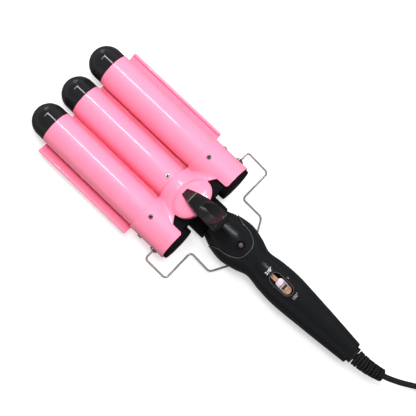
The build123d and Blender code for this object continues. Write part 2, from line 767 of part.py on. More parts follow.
def slide_switch():
    z0 = handle_z - 3.0
    z1 = slide_top() - slide_t - 0.3
    half = switch_body_half
    body = block(-switch_body_w, switch_body_w, switch_y - half, switch_y + half, z0, z1)
    room = 1.5 + switch_travel + 0.5
    body -= block(-1.6, 1.6, switch_y - room, switch_y + room, z1 - 3.2, z1 + 1)
    return body


def board_screws():
    z1 = handle_z - 3.0
    return Compound([Pos(0, y, z1) * screw(5.0) for y in (board_y0 + 6, board_y1 - 6)])


def handle_screws():
    place = [Pos(0, y, handle_z - 6.0) * Rot(180, 0, 0) * screw(11.0) for y in screw_tower_ys()]
    neck_z = handle_z - handle_size(neck_low - 8, 2) + 0.2
    place.append(Pos(0, neck_low - 8, neck_z) * Rot(180, 0, 0) * screw(8.0))
    return Compound(place)


def cord_clamp():
    y = clamp_y()
    z0 = handle_z - cord_r
    bar = block(-7.0, 7.0, y - 2.5, y + 2.5, z0 + 0.3, handle_z + cord_r + 1.6)
    bar -= rod_y(cord_r + 0.05, y - 4, y + 4, 0, handle_z)
    bar -= block(-cord_r, cord_r, y - 4, y + 4, z0 - 1, handle_z)
    for x in (-5.2, 5.2):
        bar -= rod_z(1.1, z0 - 1, handle_z + 8, x, y)
    return bar


def clamp_screws():
    top = handle_z + cord_r + 1.6
    out = []
    for x in (-5.2, 5.2):
        shank = rod_z(0.85, top - 10.0, top, x, clamp_y())
        head = rod_z(1.5, top, top + 1.0, x, clamp_y())
        out.append(head + shank)
    return Compound(out)


def cord_inner():
    """The cord's jacket inside the handle, from the gland to just past the clamp."""
    return rod_y(cord_r, tail_y + handle_wall + 2.4, clamp_y() + 8, 0, handle_z)


def lead(points, r):
    """Round wire on straight runs joined by arcs."""
    radii = [3.0] * (len(points) - 2)
    path = FilletPolyline(*points, radius=radii)
    section = Plane(origin=path @ 0, z_dir=path % 0) * Circle(r)
    return sweep(section, path=path)


def lead_wires():
    """Cores from the cord to the board, and from the board to the neck."""
    out = []
    z_top = handle_z - 3.0 + 1.0
    for s in (1, -1):
        start_y = clamp_y() + 8
        rear_pts = [
            (s * 1.2, start_y, handle_z),
            (s * 1.2, start_y + 3.5, handle_z),
            (s * 5.6, lower_y - 12.0, handle_z),
            (s * 5.8, board_y0 - 3, z_top + 1.0),
            (s * 6.2, board_y0 + 4, z_top),
        ]
        out.append(lead(rear_pts, 0.95))
        front_pts = [
            (s * 6.6, board_y1 - 3, z_top),
            (s * 6.2, board_y1 + 6, handle_z - 0.5),
            (s * 5.6, hip_y - 1, handle_z + 1),
            (s * 1.3, neck_low - tongue_len - 3.5, handle_z - 1),
            (s * 1.2, neck_low - tongue_len + 6, handle_z - 1),
        ]
        out.append(lead(front_pts, 0.95))
    return Compound(out)


# ---- stand --------------------------------------------------------------------------------------
def stand_points():
    """The wire's corners, from the right pivot round the back to the left one."""
    py = cover_y + stand_pivot_dy
    pz = outer_z
    low_z = wire_r
    fall = (pz - low_z) / (py - stand_back_y)

    def drop(y):
        return pz - (py - y) * fall

    right = [
        (barrel_pitch + 14.2, py, pz),
        (stand_out_x, py, pz),
        (stand_out_x, stand_step_y, drop(stand_step_y)),
        (stand_in_x, stand_step_y, drop(stand_step_y)),
        (stand_in_x, stand_bend_y, drop(stand_bend_y)),
        (stand_back_x, stand_back_y, drop(stand_back_y)),
    ]
    left = [(-x, y, z) for x, y, z in reversed(right)]
    return right + left


def wire_stand():
    pts = stand_points()
    r = stand_bend_r
    radii = [r, r, r, r * 1.6, stand_bow_r, stand_bow_r, r * 1.6, r, r, r]
    path = FilletPolyline(*pts, radius=radii)
    section = Plane(origin=path @ 0, z_dir=path % 0) * Circle(wire_r)
    return sweep(section, path=path)


def stand_bushes():
    """Flanged bushes in the cover's sides that carry the stand's ends."""
    out = []
    y = cover_y + stand_pivot_dy
    face = barrel_pitch + cover_r + seat_gap
    for side in (1, -1):
        flange = rod_x(bush_flange_r, side * face, side * (face + bush_flange_t), y, outer_z)
        collar = rod_x(bush_r, side * (barrel_pitch + cup_depth + 0.3), side * (face + 2.0), y, outer_z)
        body = flange + collar
        body -= rod_x(wire_r + run_gap, side * (barrel_pitch + 10), side * (face + 4), y, outer_z)
        out.append(body)
    return Compound(out)


def cover_screws():
    out = []
    y = cover_y + cover_screw_dy
    side_y = cover_y + side_screw_dy
    top = outer_z + cover_r
    for side in (1, -1):
        out.append(Pos(side * barrel_pitch, y, top + 0.02) * screw(8.0))
        face = side * (barrel_pitch + cover_r + 0.02)
        out.append(Pos(face, side_y, outer_z) * Rot(0, side * 90, 0) * screw(8.0))
    return Compound(out)


def plate_screw():
    return Pos(0, plate_screw_y, middle_z + barrel_r + 0.02) * screw(7.0)


# ---- cord ---------------------------------------------------------------------------------------
def relief_frame(s):
    """Place and direction on the strain relief's bent axis, s from 0 to 1."""
    total = math.radians(relief_turn)
    roll = math.radians(relief_roll)
    r = relief_len / total
    a = total * s
    off = r * (1 - math.cos(a))
    run = r * math.sin(a)
    ux = math.cos(roll)
    uz = -math.sin(roll)
    y0 = tail_y - collar_len
    place = (ux * off, y0 - run, handle_z + uz * off)
    heading = (ux * math.sin(a), -math.cos(a), uz * math.sin(a))
    return place, heading


def relief_disc(s0, s1, r0, r1):
    """One slice of the strain relief between two places on its axis."""
    p0, d0 = relief_frame(s0)
    p1, d1 = relief_frame(s1)
    f0 = Plane(origin=p0, x_dir=(0, 0, 1), z_dir=d0) * Circle(r0)
    f1 = Plane(origin=p1, x_dir=(0, 0, 1), z_dir=d1) * Circle(r1)
    return loft([f0, f1])


def strain_relief():
    flange = rod_y(collar_r - 0.2, tail_y + handle_wall + 0.1, tail_y + handle_wall + 2.3, 0, handle_z)
    neck = rod_y(collar_r - 1.6, tail_y - 0.5, tail_y + handle_wall + 0.2, 0, handle_z)
    collar = rod_y(collar_r, tail_y - collar_len, tail_y - seat_gap, 0, handle_z)
    body = flange + neck + collar
    core_r = 3.3
    core_steps = 6
    for i in range(core_steps):
        body += relief_disc(i / core_steps, (i + 1) / core_steps, core_r, core_r)
    # pairs of rings, with a narrow slit in each pair and a wide one between pairs
    pitch = 1.0 / relief_steps
    for i in range(relief_steps):
        base = i * pitch
        for a, b in ((0.24, 0.56), (0.68, 1.0)):
            s0 = base + a * pitch
            s1 = base + b * pitch
            r0 = relief_r0 + (relief_r1 - relief_r0) * s0
            r1 = relief_r0 + (relief_r1 - relief_r0) * s1
            body += relief_disc(s0, s1, r0, r1)
    return body


def coil_edge(degrees, z):
    """Point on the middle of the coil's outer turn."""
    turn_r = coil_r1 - cord_r
    a = math.radians(degrees)
    return (coil_x + turn_r * math.cos(a), coil_y + turn_r * math.sin(a), z)


def cord_points():
    """Corners of the free cord's route, from the strain relief's end to the coil's outer turn."""
    end, heading = relief_frame(1.0)
    lie = cord_r
    first = tuple(end[i] + heading[i] * 12.0 for i in range(3))
    return [
        end,
        first,
        (21.0, -216.6, 6.6),
        (34.0, -239.5, lie),
        (47.0, -257.0, lie),
        coil_edge(coil_meet, lie),
    ]


def tail_points():
    """Corners of the short end between the coil and the plug's nose."""
    lie = plug_thick / 2
    return [coil_edge(coil_part, 3 * cord_r), (108.0, -228.9, lie), (109.0, -216.0, lie)]


def corner_radii(points):
    """Each corner's radius: 0.45 of its shorter run over the tangent of half the turn."""
    radii = []
    for a, b, c in zip(points, points[1:], points[2:]):
        one = Vector(*b) - Vector(*a)
        two = Vector(*c) - Vector(*b)
        turn = math.radians(one.get_angle(two))
        radii.append(0.45 * min(one.length, two.length) / math.tan(turn / 2))
    return radii


def cord_tube(points, name):
    radii = corner_radii(points)
    print(name, "radii", [round(r, 1) for r in radii])
    path = FilletPolyline(*points, radius=radii)
    print(name, "length", round(path.length, 1))
    section = Plane(origin=path @ 0, z_dir=path % 0) * Circle(cord_r)
    tube = sweep(section, path=path)
    print(name, "volume over section times length", round(tube.volume / (math.pi * cord_r ** 2 * path.length), 4))
    return tube


def cord_coil():
    """Outer shape of the wound cord: a flat ring."""
    body = Pos(coil_x, coil_y, coil_h / 2) * (Cylinder(coil_r1, coil_h) - Cylinder(coil_r0, coil_h + 1))
    return fillet(body.edges().filter_by(GeomType.CIRCLE), cord_r * 0.8)


def cord_tie():
    """Strap round the coil's section."""
    gap = 0.35
    mid = Pos(coil_x - coil_mid_r, coil_y, coil_h / 2)
    wide = coil_r1 - coil_r0 + 2 * gap
    tall = coil_h + 2 * gap
    loop = Box(wide + 2 * tie_t, tie_w, tall + 2 * tie_t) - Box(wide, tie_w + 1, tall)
    low_cut = block(-500, 500, -500, 500, -50, 0.0)
    return mid * loop - low_cut


def plug_frame():
    """Middle of the plug's nose face and its direction."""
    pts = tail_points()
    d = Vector(*pts[-1]) - Vector(*pts[-2])
    return Vector(*pts[-1]), d.normalized()


def plug_parts():
    p, d = plug_frame()
    lay = Plane(origin=p, x_dir=(0, 0, 1), z_dir=d)
    nose = loft([lay * Circle(3.6), lay.offset(plug_nose_len) * Circle(5.6)])
    body = lay.offset(plug_nose_len) * extrude(RectangleRounded(plug_thick, plug_wide, 5.5), plug_body_len)
    body = fillet(body.edges().group_by(Axis.Y)[-1], 1.6)
    end_at = plug_nose_len + plug_body_len
    prongs = []
    for s in (1, -1):
        pin = lay.offset(end_at) * (Pos(0, s * prong_pitch / 2) * extrude(Circle(prong_r), prong_len))
        pin = fillet(pin.edges().group_by(Axis.Y)[-1], 1.0)
        prongs.append(pin)
    return nose + body, Compound(prongs)


# ---- write every sub-part -----------------------------------------------------------------------
write("trough_plate", trough_plate())
write("barrel_left", outer_barrel(-1))
write("barrel_right", outer_barrel(1))
for part_name, px, pz, foot in (
    ("left", -barrel_pitch, outer_z, barrel_foot + spigot_len),
    ("right", barrel_pitch, outer_z, barrel_foot + spigot_len),
    ("middle", 0.0, middle_z, plate_start + spigot_len),
):
    write("cap_" + part_name, cap(px, pz))
    write("heater_" + part_name, heater(px, pz, foot))
    write("spreader_" + part_name, spreader(px, pz, foot))
write("cover", cover())
write("yoke", yoke())
write("hinge_bushes", hinge_bushes())
write("hinge_pin", hinge_pin())
write("hinge_spring", hinge_spring())
write("neck_carrier", neck_carrier())
write("thumb_lever", thumb_lever())
housing_shape, front_shape, rear_shape = handle_parts()
write("neck_housing", housing_shape)
write("handle_front", front_shape)
write("handle_rear", rear_shape)
write("lamp_lens", lamp_lens())
write("lamp", lamp())
write("switch_bezel", switch_bezel())
write("switch_slide", switch_slide())
write("switch_knob", switch_knob())
write("slide_switch", slide_switch())
write("circuit_board", board())
write("board_screws", board_screws())
write("handle_screws", handle_screws())
write("cord_clamp", cord_clamp())
write("clamp_screws", clamp_screws())
write("cord_inner", cord_inner())
write("lead_wires", lead_wires())
write("wire_stand", wire_stand())
write("stand_bushes", stand_bushes())
write("cover_screws", cover_screws())
write("plate_screw", plate_screw())
write("strain_relief", strain_relief())
write("cord", cord_tube(cord_points(), "cord"))
write("cord_tail", cord_tube(tail_points(), "cord_tail"))
write("cord_coil", cord_coil())
write("cord_tie", cord_tie())
plug_shape, prong_shape = plug_parts()
write("plug", plug_shape)
write("plug_pins", prong_shape)
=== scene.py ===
import math

import bmesh
import bpy
import numpy as np
from mathutils import Matrix, Vector


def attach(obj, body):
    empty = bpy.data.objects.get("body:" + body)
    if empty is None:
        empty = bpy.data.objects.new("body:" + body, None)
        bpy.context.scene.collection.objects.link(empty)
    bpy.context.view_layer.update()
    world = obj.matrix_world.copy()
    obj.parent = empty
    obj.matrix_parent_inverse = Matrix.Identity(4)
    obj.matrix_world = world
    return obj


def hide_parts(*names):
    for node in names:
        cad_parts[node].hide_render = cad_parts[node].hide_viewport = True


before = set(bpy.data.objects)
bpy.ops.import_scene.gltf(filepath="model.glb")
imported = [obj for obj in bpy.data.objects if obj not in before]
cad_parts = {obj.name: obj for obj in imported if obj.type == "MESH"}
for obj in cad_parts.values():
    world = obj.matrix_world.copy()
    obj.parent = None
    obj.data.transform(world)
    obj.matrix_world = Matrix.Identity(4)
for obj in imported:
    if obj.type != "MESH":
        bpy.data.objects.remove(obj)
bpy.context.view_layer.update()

# Hair waver, worked out in millimetres: +X right, +Y towards the barrel tips, +Z the lever side.
MM = 0.001
WELD = 2e-6  # metres

OUTER_X = 35.2  # outer barrels' axes
OUTER_Z = 22.4
MIDDLE_Z = 16.0
BARREL_R = 16.0
BORE_R = 14.8
BARREL_TIP = 163.1
BARREL_FOOT = 36.4
CAP_R = 15.7
CAP_STRAIGHT = 7.7
PLUG_R = 14.6  # the part of a cap inside its barrel
PLATE_START, PLATE_TIP = 56.8, 161.7
SHEET_HALF = 0.6  # half the plate's thickness
TROUGH_R = 17.8  # to the middle of the sheet
WING_X = 59.0  # the rolled edges
COVER_Y = 18.4  # the cover's handle end
COVER_LEN = 37.5
COVER_R = 17.6
COVER_PITCH_IN = OUTER_X - COVER_R
HUB_Y, HUB_X_R, HUB_Y_R = 14.5, 19.5, 14.0
HANDLE_END, HANDLE_NECK = -153.2, 6.5
NECK_SINK = 0.6  # the neck housing lies this far under the front shell
SWITCH_Y, LAMP_Y = -71.0, -23.9
KNOB_R = 3.9
FRONT_SCREW_Y, SIDE_SCREW_Y, TROUGH_SCREW_Y = 47.2, 44.8, 62.1
SCREW_SEAT = 0.05  # the heads sit this far into what they hold
WIRE_R = 0.95
PIVOT_Y = 27.9  # the stand's


# ---- sheets of points ----
def grid_faces(rows, cols, wrap_rows=False, wrap_cols=False, first=0):
    """Quads of a rows-by-cols grid of points numbered row by row; a wrapped side joins its far end."""
    r = np.arange(rows if wrap_rows else rows - 1)
    c = np.arange(cols if wrap_cols else cols - 1)
    r, c = np.meshgrid(r, c, indexing="ij")
    r1 = (r + 1) % rows
    c1 = (c + 1) % cols
    quads = stack(r * cols + c, r * cols + c1, r1 * cols + c1, r1 * cols + c)
    return first + quads.reshape(-1, 4)


def add(name, data):
    """An object for data, in the scene."""
    made = bpy.data.objects.new(name, data)
    bpy.context.scene.collection.objects.link(made)
    return made


def make(name, sheets, finish, body, stands_for=(), crease=40.0, bevel=0.0):
    """One piece from sheets (points, wrap_rows, wrap_cols) in mm; crease is the sharpest smooth edge in degrees."""
    points, faces, count = [], [], 0
    for sheet in sheets:
        grid, wrap_rows, wrap_cols = sheet if isinstance(sheet, tuple) else (sheet, False, False)
        points.append(grid.reshape(-1, 3))
        faces.append(grid_faces(*grid.shape[:2], wrap_rows, wrap_cols, count))
        count += grid.shape[0] * grid.shape[1]
    mesh = bpy.data.meshes.new(name)
    mesh.from_pydata((np.concatenate(points) * MM).tolist(), [], np.concatenate(faces).tolist())
    tidy(mesh)
    mesh.polygons.foreach_set("use_smooth", np.ones(len(mesh.polygons), bool))
    mesh.set_sharp_from_angle(angle=math.radians(crease))
    piece = add(name, mesh)
    if bevel:
        edge = piece.modifiers.new("edges", "BEVEL")
        edge.width = bevel * MM
        edge.segments = 2
        edge.limit_method = "ANGLE"
        edge.angle_limit = math.radians(50.0)
    dress(piece, finish, body, stands_for)


def tidy(mesh):
    """Merges points closer than WELD and turns the faces outwards."""
    work = bmesh.new()
    work.from_mesh(mesh)
    bmesh.ops.remove_doubles(work, verts=work.verts, dist=WELD)
    bmesh.ops.dissolve_degenerate(work, edges=work.edges, dist=1e-8)
    bmesh.ops.recalc_face_normals(work, faces=work.faces)
    work.to_mesh(mesh)
    work.free()
    mesh.update()


def dress(piece, finish, body, stands_for=()):
    """Gives a piece its finish, its body and the nodes that it stands for."""
    piece.data.materials.clear()
    piece.data.materials.append(finish)
    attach(piece, body)
    if stands_for:
        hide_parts(*([stands_for] if isinstance(stands_for, str) else stands_for))


def dome(r, rise, foot, steps):
    """Profile of a quarter ellipse: r out at height foot, in to the axis at foot plus rise."""
    a = np.linspace(0, math.pi / 2, steps)
    profile = stack(r * np.cos(a), foot + rise * np.sin(a))
    profile[-1, 0] = 0.0
    return profile


def stack(*parts):
    """Arrays side by side along a new last axis."""
    return np.stack(parts, -1)


def chain(*parts):
    """Arrays end to end."""
    return np.concatenate(parts)


def circle(turns):
    """Even angles right round, the first not repeated."""
    return np.linspace(0, 2 * math.pi, turns, endpoint=False)


def lathe(profile, centre, axis="y", turns=128, closed=False):
    """A profile of (radius, height) turned round an axis through centre: x = r cos a, z = r sin a for the Y axis."""
    profile = np.asarray(profile, float)
    a = circle(turns)
    r = profile[:, 0][:, None]
    h = np.repeat(profile[:, 1][:, None], turns, 1)
    one, two = r * np.cos(a), r * np.sin(a)
    order = (one, h, two) if axis == "y" else (one, two, h)
    return stack(*order) + centre, closed, True


def shell(outer, inner, wrap=False):
    """Two skins closed along their edges; wrap says that the rows run right round."""
    sheets = [(outer, wrap, False), (inner, wrap, False)]
    for k in (0, -1):
        sheets.append((np.stack([outer[:, k], inner[:, k]]), False, wrap))
        if not wrap:
            sheets.append(np.stack([outer[k], inner[k]]))
    return sheets


def inward(grid, wall, middle):
    """The sheet moved by wall along its own normals, to the side where middle is."""
    normal = np.cross(np.gradient(grid, axis=0), np.gradient(grid, axis=1))
    normal /= np.maximum(np.linalg.norm(normal, axis=-1), 1e-9)[..., None]
    facing = (normal * (grid - middle)).sum(-1)
    return grid - normal * wall * (1.0 if facing.mean() > 0 else -1.0)


def rounded(corners, radii, steps=8):
    """An open profile whose inner corners become quadratic curves that start and end a radius away from them."""
    corners = [np.asarray(c, float) for c in corners]
    out = [corners[0][None]]
    t = np.linspace(0, 1, steps + 1)[:, None]
    for i in range(1, len(corners) - 1):
        before, here, after = corners[i - 1], corners[i], corners[i + 1]
        r = radii[i - 1]
        a = here + (before - here) / np.linalg.norm(before - here) * r
        b = here + (after - here) / np.linalg.norm(after - here) * r
        out.append((1 - t) ** 2 * a + 2 * t * (1 - t) * here + t ** 2 * b)
    out.append(corners[-1][None])
    return np.concatenate(out)


def arcs(corners, radii, steps=8):
    """A path of straight runs joined by true arcs of the given radii."""
    corners = np.asarray(corners, float)
    out = [corners[:1]]
    for i in range(1, len(corners) - 1):
        a, b = corners[i - 1] - corners[i], corners[i + 1] - corners[i]
        a, b = a / np.linalg.norm(a), b / np.linalg.norm(b)
        half = math.acos(max(-1.0, min(1.0, float(a @ b)))) / 2
        r = radii[i - 1]
        mid = (a + b) / np.linalg.norm(a + b)
        centre = corners[i] + mid * r / math.sin(half)
        start = corners[i] + a * r / math.tan(half) - centre
        side = -mid * r
        turn = math.pi / 2 - half
        across = start - side * (start @ side) / r ** 2
        across = across / np.linalg.norm(across) * r
        t = np.linspace(turn, -turn, steps + 1)[:, None]
        out.append(centre + side * np.cos(t) + across * np.sin(t))
    out.append(corners[-1:])
    return np.concatenate(out)


def tube(path, radius, up, turns):
    """Round bar along path, its ends closed: each ring lies across the tangent, and up is never along the path."""
    path = np.asarray(path, float)
    tangent = np.gradient(path, axis=0)
    tangent /= np.linalg.norm(tangent, axis=1)[:, None]
    side = np.cross(tangent, up)
    side /= np.linalg.norm(side, axis=1)[:, None]
    top = np.cross(side, tangent)
    a = circle(turns)[None, :, None]
    ring = path[:, None] + radius * (np.cos(a) * side[:, None] + np.sin(a) * top[:, None])
    first, last = (np.repeat(end[None], turns, 1) for end in (path[:1], path[-1:]))
    return chain(first, ring, last), False, True


def smooth_max(a, b, k):
    """The larger of two heights with a fillet of width k where they meet."""
    h = np.clip(0.5 + 0.5 * (a - b) / k, 0, 1)
    return b + (a - b) * h + k * h * (1 - h)


def ease(t):
    """0 to 1 with level ends."""
    t = np.clip(t, 0, 1)
    return t * t * (3 - 2 * t)


# ---- finishes ----
def by_math(operation, swapped=False):
    """A method that joins a Value and another value with one Math node."""
    def join(self, other):
        pair = (other, self) if swapped else (self, other)
        return self.nodes.node("ShaderNodeMath", {"operation": operation}, dict(enumerate(pair)))
    return join


class Value:
    """A shader socket; arithmetic on it adds Math nodes to its tree."""

    def __init__(self, nodes, socket):
        self.nodes, self.socket = nodes, socket

    __add__, __radd__ = by_math("ADD"), by_math("ADD", True)
    __sub__, __rsub__ = by_math("SUBTRACT"), by_math("SUBTRACT", True)
    __mul__, __rmul__ = by_math("MULTIPLY"), by_math("MULTIPLY", True)

    def above(self, low, high):
        """0 under low, 1 over high, smooth between."""
        return self.nodes.node("ShaderNodeMapRange", {"interpolation_type": "SMOOTHSTEP"},
                               {"Value": self, "From Min": low, "From Max": high})


class Nodes:
    """A material's or a world's shader tree, whose nodes all come from node()."""

    def __init__(self, owner):
        owner.use_nodes = True
        self.tree = owner.node_tree
        self.tree.nodes.clear()

    def node(self, kind, settings=None, inputs=None, out=0):
        """Adds one node: its settings first, then the values or links of its sockets."""
        made = self.tree.nodes.new(kind)
        for key, value in (settings or {}).items():
            if key == "stops":
                ramp = made.color_ramp
                while len(ramp.elements) < len(value):
                    ramp.elements.new(0.5)
                for element, (position, level) in zip(ramp.elements, value):
                    element.position = position
                    element.color = (level, level, level, 1.0)
            else:
                setattr(made, key, value)
        for key, value in (inputs or {}).items():
            if isinstance(value, Value):
                self.tree.links.new(value.socket, made.inputs[key])
            else:
                made.inputs[key].default_value = value
        return Value(self, made.outputs[out]) if made.outputs else None


class Finish(Nodes):
    """A material that reads the object's own place."""

    def __init__(self, name):
        self.material = bpy.data.materials.new(name)
        super().__init__(self.material)
        self.place = self.node("ShaderNodeTexCoord", out="Object")

    def noise(self, scale, detail=2.0, rough=0.5, stretch=(1, 1, 1)):
        """Noise in 0..1 on the object's own metres; scale is features a metre."""
        where = self.node("ShaderNodeMapping", None, {"Vector": self.place, "Scale": stretch})
        return self.node("ShaderNodeTexNoise", None,
                         {"Vector": where, "Scale": scale, "Detail": detail, "Roughness": rough})

    def axis(self, name):
        """The X, Y or Z of the object's own place, in metres."""
        return self.node("ShaderNodeSeparateXYZ", None, {0: self.place}, out=name)

    def mix(self, factor, one, two):
        """Colour one where factor is 0 and two where it is 1; a plain colour is a display colour in 0..255."""
        return self.node("ShaderNodeMix", {"data_type": "RGBA"}, {0: factor, 6: colour(one), 7: colour(two)}, out=2)

    def bump(self, height, strength, distance):
        """A normal that leans with height; distance is what a height of 1 stands for, in metres."""
        return self.node("ShaderNodeBump", None, {"Height": height, "Strength": strength, "Distance": distance})

    def shine(self, **sockets):
        """The surface itself, with the named sockets set or linked."""
        inputs = {key.replace("_", " "): value for key, value in sockets.items()}
        surface = self.node("ShaderNodeBsdfPrincipled", None, inputs)
        self.node("ShaderNodeOutputMaterial", None, {"Surface": surface})
        return self.material


def colour(value):
    """A Value as it is, and a display colour in 0..255 as a linear one."""
    if isinstance(value, Value):
        return value
    v = np.array(value) / 255.0
    return (*np.where(v <= 0.04045, v / 12.92, ((v + 0.055) / 1.055) ** 2.4).tolist(), 1.0)


def pink_enamel():
    """Sprayed enamel: faint mottling, orange peel and a clear coat."""
    f = Finish("pink_enamel")
    mottle = f.noise(55.0, 3.0)
    base = f.mix(mottle, (249, 126, 157), (252, 136, 166))
    peel = f.noise(900.0, 2.0)
    rough = 0.45 + 0.06 * f.noise(160.0, 3.0)
    return f.shine(Base_Color=base, Roughness=rough, Normal=f.bump(peel, 0.018, 0.0002),
                   Coat_Weight=0.8, Coat_Roughness=0.05, IOR=1.6)


def moulded(name, base, other, rough, spread, grain, strength, coat=0.0, level=0.5):
    """Moulded plastic: even colour with slight flow marks and a fine grained skin."""
    f = Finish(name)
    tone = f.mix(f.noise(40.0, 4.0, 0.6), base, other)
    skin = f.noise(grain, 3.0, 0.6)
    roughness = rough + spread * (f.noise(220.0, 3.0) - 0.5)
    return f.shine(Base_Color=tone, Roughness=roughness, Normal=f.bump(skin, strength, 0.0001), Coat_Weight=coat,
                   Coat_Roughness=0.08, IOR=1.48, Specular_IOR_Level=level)


def metal(name, base, other, rough, spread, stretch=(1, 1, 1), grain=900.0, strength=0.1, share=1.0):
    """Drawn or turned metal with fine streaks."""
    f = Finish(name)
    streak = f.noise(grain, 3.0, 0.6, stretch)
    tone = f.mix(streak, base, other)
    return f.shine(Base_Color=tone, Metallic=share, Roughness=rough + spread * (streak - 0.5),
                   Normal=f.bump(streak, strength, 0.00005))


def thumb_black():
    """The lever's plastic: a warm dark tip, a paler band before the crease that is a painted reflection, and a cream
    line along the crease that is a painted highlight.
    """
    f = Finish("thumb_black")
    along = f.axis("Y")
    body = f.mix(f.noise(40.0, 4.0, 0.6), (15, 14, 15), (20, 19, 20))
    # the paler band before the crease is a painted reflection
    painted_reflection_band = along.above(0.03275, 0.0329)
    tip = along.above(0.0353, 0.0360)
    # the cream line along the crease is a painted highlight
    line = along.above(0.0321, 0.0323) - along.above(0.0326, 0.0328)
    tone = f.mix(painted_reflection_band, body, (30, 32, 34))
    tone = f.mix(tip, tone, (24, 15, 20))
    tone = f.mix(line, tone, (140, 124, 102))
    rough = 0.24 + 0.06 * f.noise(220.0, 3.0)
    return f.shine(Base_Color=tone, Roughness=rough, Normal=f.bump(f.noise(1800.0, 3.0), 0.03, 0.0001),
                   Specular_IOR_Level=0.34)


def slide_tan():
    """Tan plastic with darker drawn lines along the slide."""
    f = Finish("slide_tan")
    lines = f.noise(900.0, 2.0, 0.5, (1, 0.05, 1)).above(0.35, 0.65)
    tone = f.mix(lines, (140, 100, 74), (214, 172, 138))
    return f.shine(Base_Color=tone, Roughness=0.34 + 0.1 * lines, Normal=f.bump(lines, 0.15, 0.0001))


def knob_rose():
    """Satin silver with a painted rose highlight at the knob's end and in a line before the well."""
    f = Finish("knob_rose")
    along = f.axis("Y") + 0.071
    # painted highlight: the rose at the knob's end and in the line before the well
    end = along.above(0.0036, 0.0046)
    line = along.above(-0.0012, -0.0009) - along.above(-0.0004, -0.0001)
    rose = f.mix(f.noise(500.0, 2.0), (190, 120, 138), (214, 150, 164))
    tone = f.mix(end + line, f.mix(f.noise(700.0, 2.0), (206, 199, 202), (236, 230, 231)), rose)
    return f.shine(Base_Color=tone, Metallic=0.45, Roughness=0.2 + 0.06 * f.noise(300.0, 2.0),
                   Normal=f.bump(f.noise(600.0, 2.0), 0.03, 0.0001))


PINK = pink_enamel()
CAP_BLACK = moulded("cap_black", (24, 24, 26), (30, 30, 32), 0.08, 0.04, 700.0, 0.01, level=0.45)
HANDLE_BLACK = moulded("handle_black", (14, 15, 17), (20, 21, 23), 0.25, 0.06, 2600.0, 0.06, level=0.3)
LEVER_BLACK = moulded("lever_black", (15, 14, 15), (20, 19, 20), 0.18, 0.05, 1800.0, 0.04, level=0.42)
THUMB_BLACK = thumb_black()
YOKE_BLACK = moulded("yoke_black", (12, 12, 13), (17, 17, 19), 0.7, 0.08, 1800.0, 0.1, level=0.08)
CORD_BLACK = moulded("cord_black", (17, 17, 19), (24, 24, 26), 0.36, 0.08, 1500.0, 0.08)
RELIEF_BLACK = moulded("relief_black", (15, 15, 17), (21, 21, 23), 0.46, 0.08, 1800.0, 0.12)
STEEL = metal("steel", (188, 180, 172), (150, 142, 136), 0.24, 0.14)
STEEL_WIRE = metal("steel_wire", (216, 208, 203), (178, 168, 163), 0.2, 0.1, share=0.75)
SCREW_DARK = metal("screw_dark", (168, 168, 168), (130, 130, 131), 0.3, 0.1, share=0.8)
SCREW_BRIGHT = metal("screw_bright", (238, 238, 236), (214, 214, 212), 0.3, 0.1, share=0.6)
ALUMINIUM = metal("aluminium", (205, 206, 208), (180, 182, 186), 0.35, 0.15, (1, 0.04, 1))
BRONZE = metal("bronze", (196, 150, 92), (160, 116, 66), 0.4, 0.15)
KNOB_ROSE = knob_rose()
NICKEL = metal("nickel", (214, 208, 198), (190, 184, 176), 0.18, 0.1)
SLIDE_TAN = slide_tan()
CERAMIC = moulded("ceramic", (232, 226, 214), (214, 206, 192), 0.6, 0.1, 1500.0, 0.2)
NYLON = moulded("nylon", (214, 212, 204), (196, 194, 186), 0.5, 0.1, 1200.0, 0.1)
BOARD_GREEN = moulded("board_green", (24, 92, 44), (16, 70, 34), 0.4, 0.1, 900.0, 0.2)
CORE_BROWN = moulded("core_brown", (112, 62, 32), (92, 48, 24), 0.45, 0.1, 900.0, 0.1)
LAMP_RED = moulded("lamp_red", (190, 96, 84), (170, 80, 70), 0.2, 0.05, 500.0, 0.02, coat=0.5)
MARK_WHITE = moulded("mark_white", (236, 234, 238), (222, 220, 226), 0.5, 0.1, 1200.0, 0.05)
MARK_GREY = moulded("mark_grey", (150, 150, 153), (126, 126, 130), 0.5, 0.1, 1200.0, 0.05)
# paler grey for lit edges: a painted highlight
EDGE_HIGHLIGHT_GREY = moulded("edge_highlight_grey", (70, 72, 75), (48, 49, 52), 0.3, 0.1, 900.0, 0.05)
# dark brown for the knob's well: painted shade
WELL_SHADE_BROWN = moulded("well_shade_brown", (34, 24, 20), (52, 38, 32), 0.3, 0.1, 1500.0, 0.05)
# near black for recesses: painted shade
RECESS_SHADE_BLACK = moulded("recess_shade_black", (5, 5, 6), (9, 9, 10), 0.5, 0.1, 1500.0, 0.05, level=0.2)
LENS_MAUVE = moulded("lens_mauve", (84, 66, 72), (64, 50, 56), 0.26, 0.08, 1100.0, 0.2, coat=0.5)

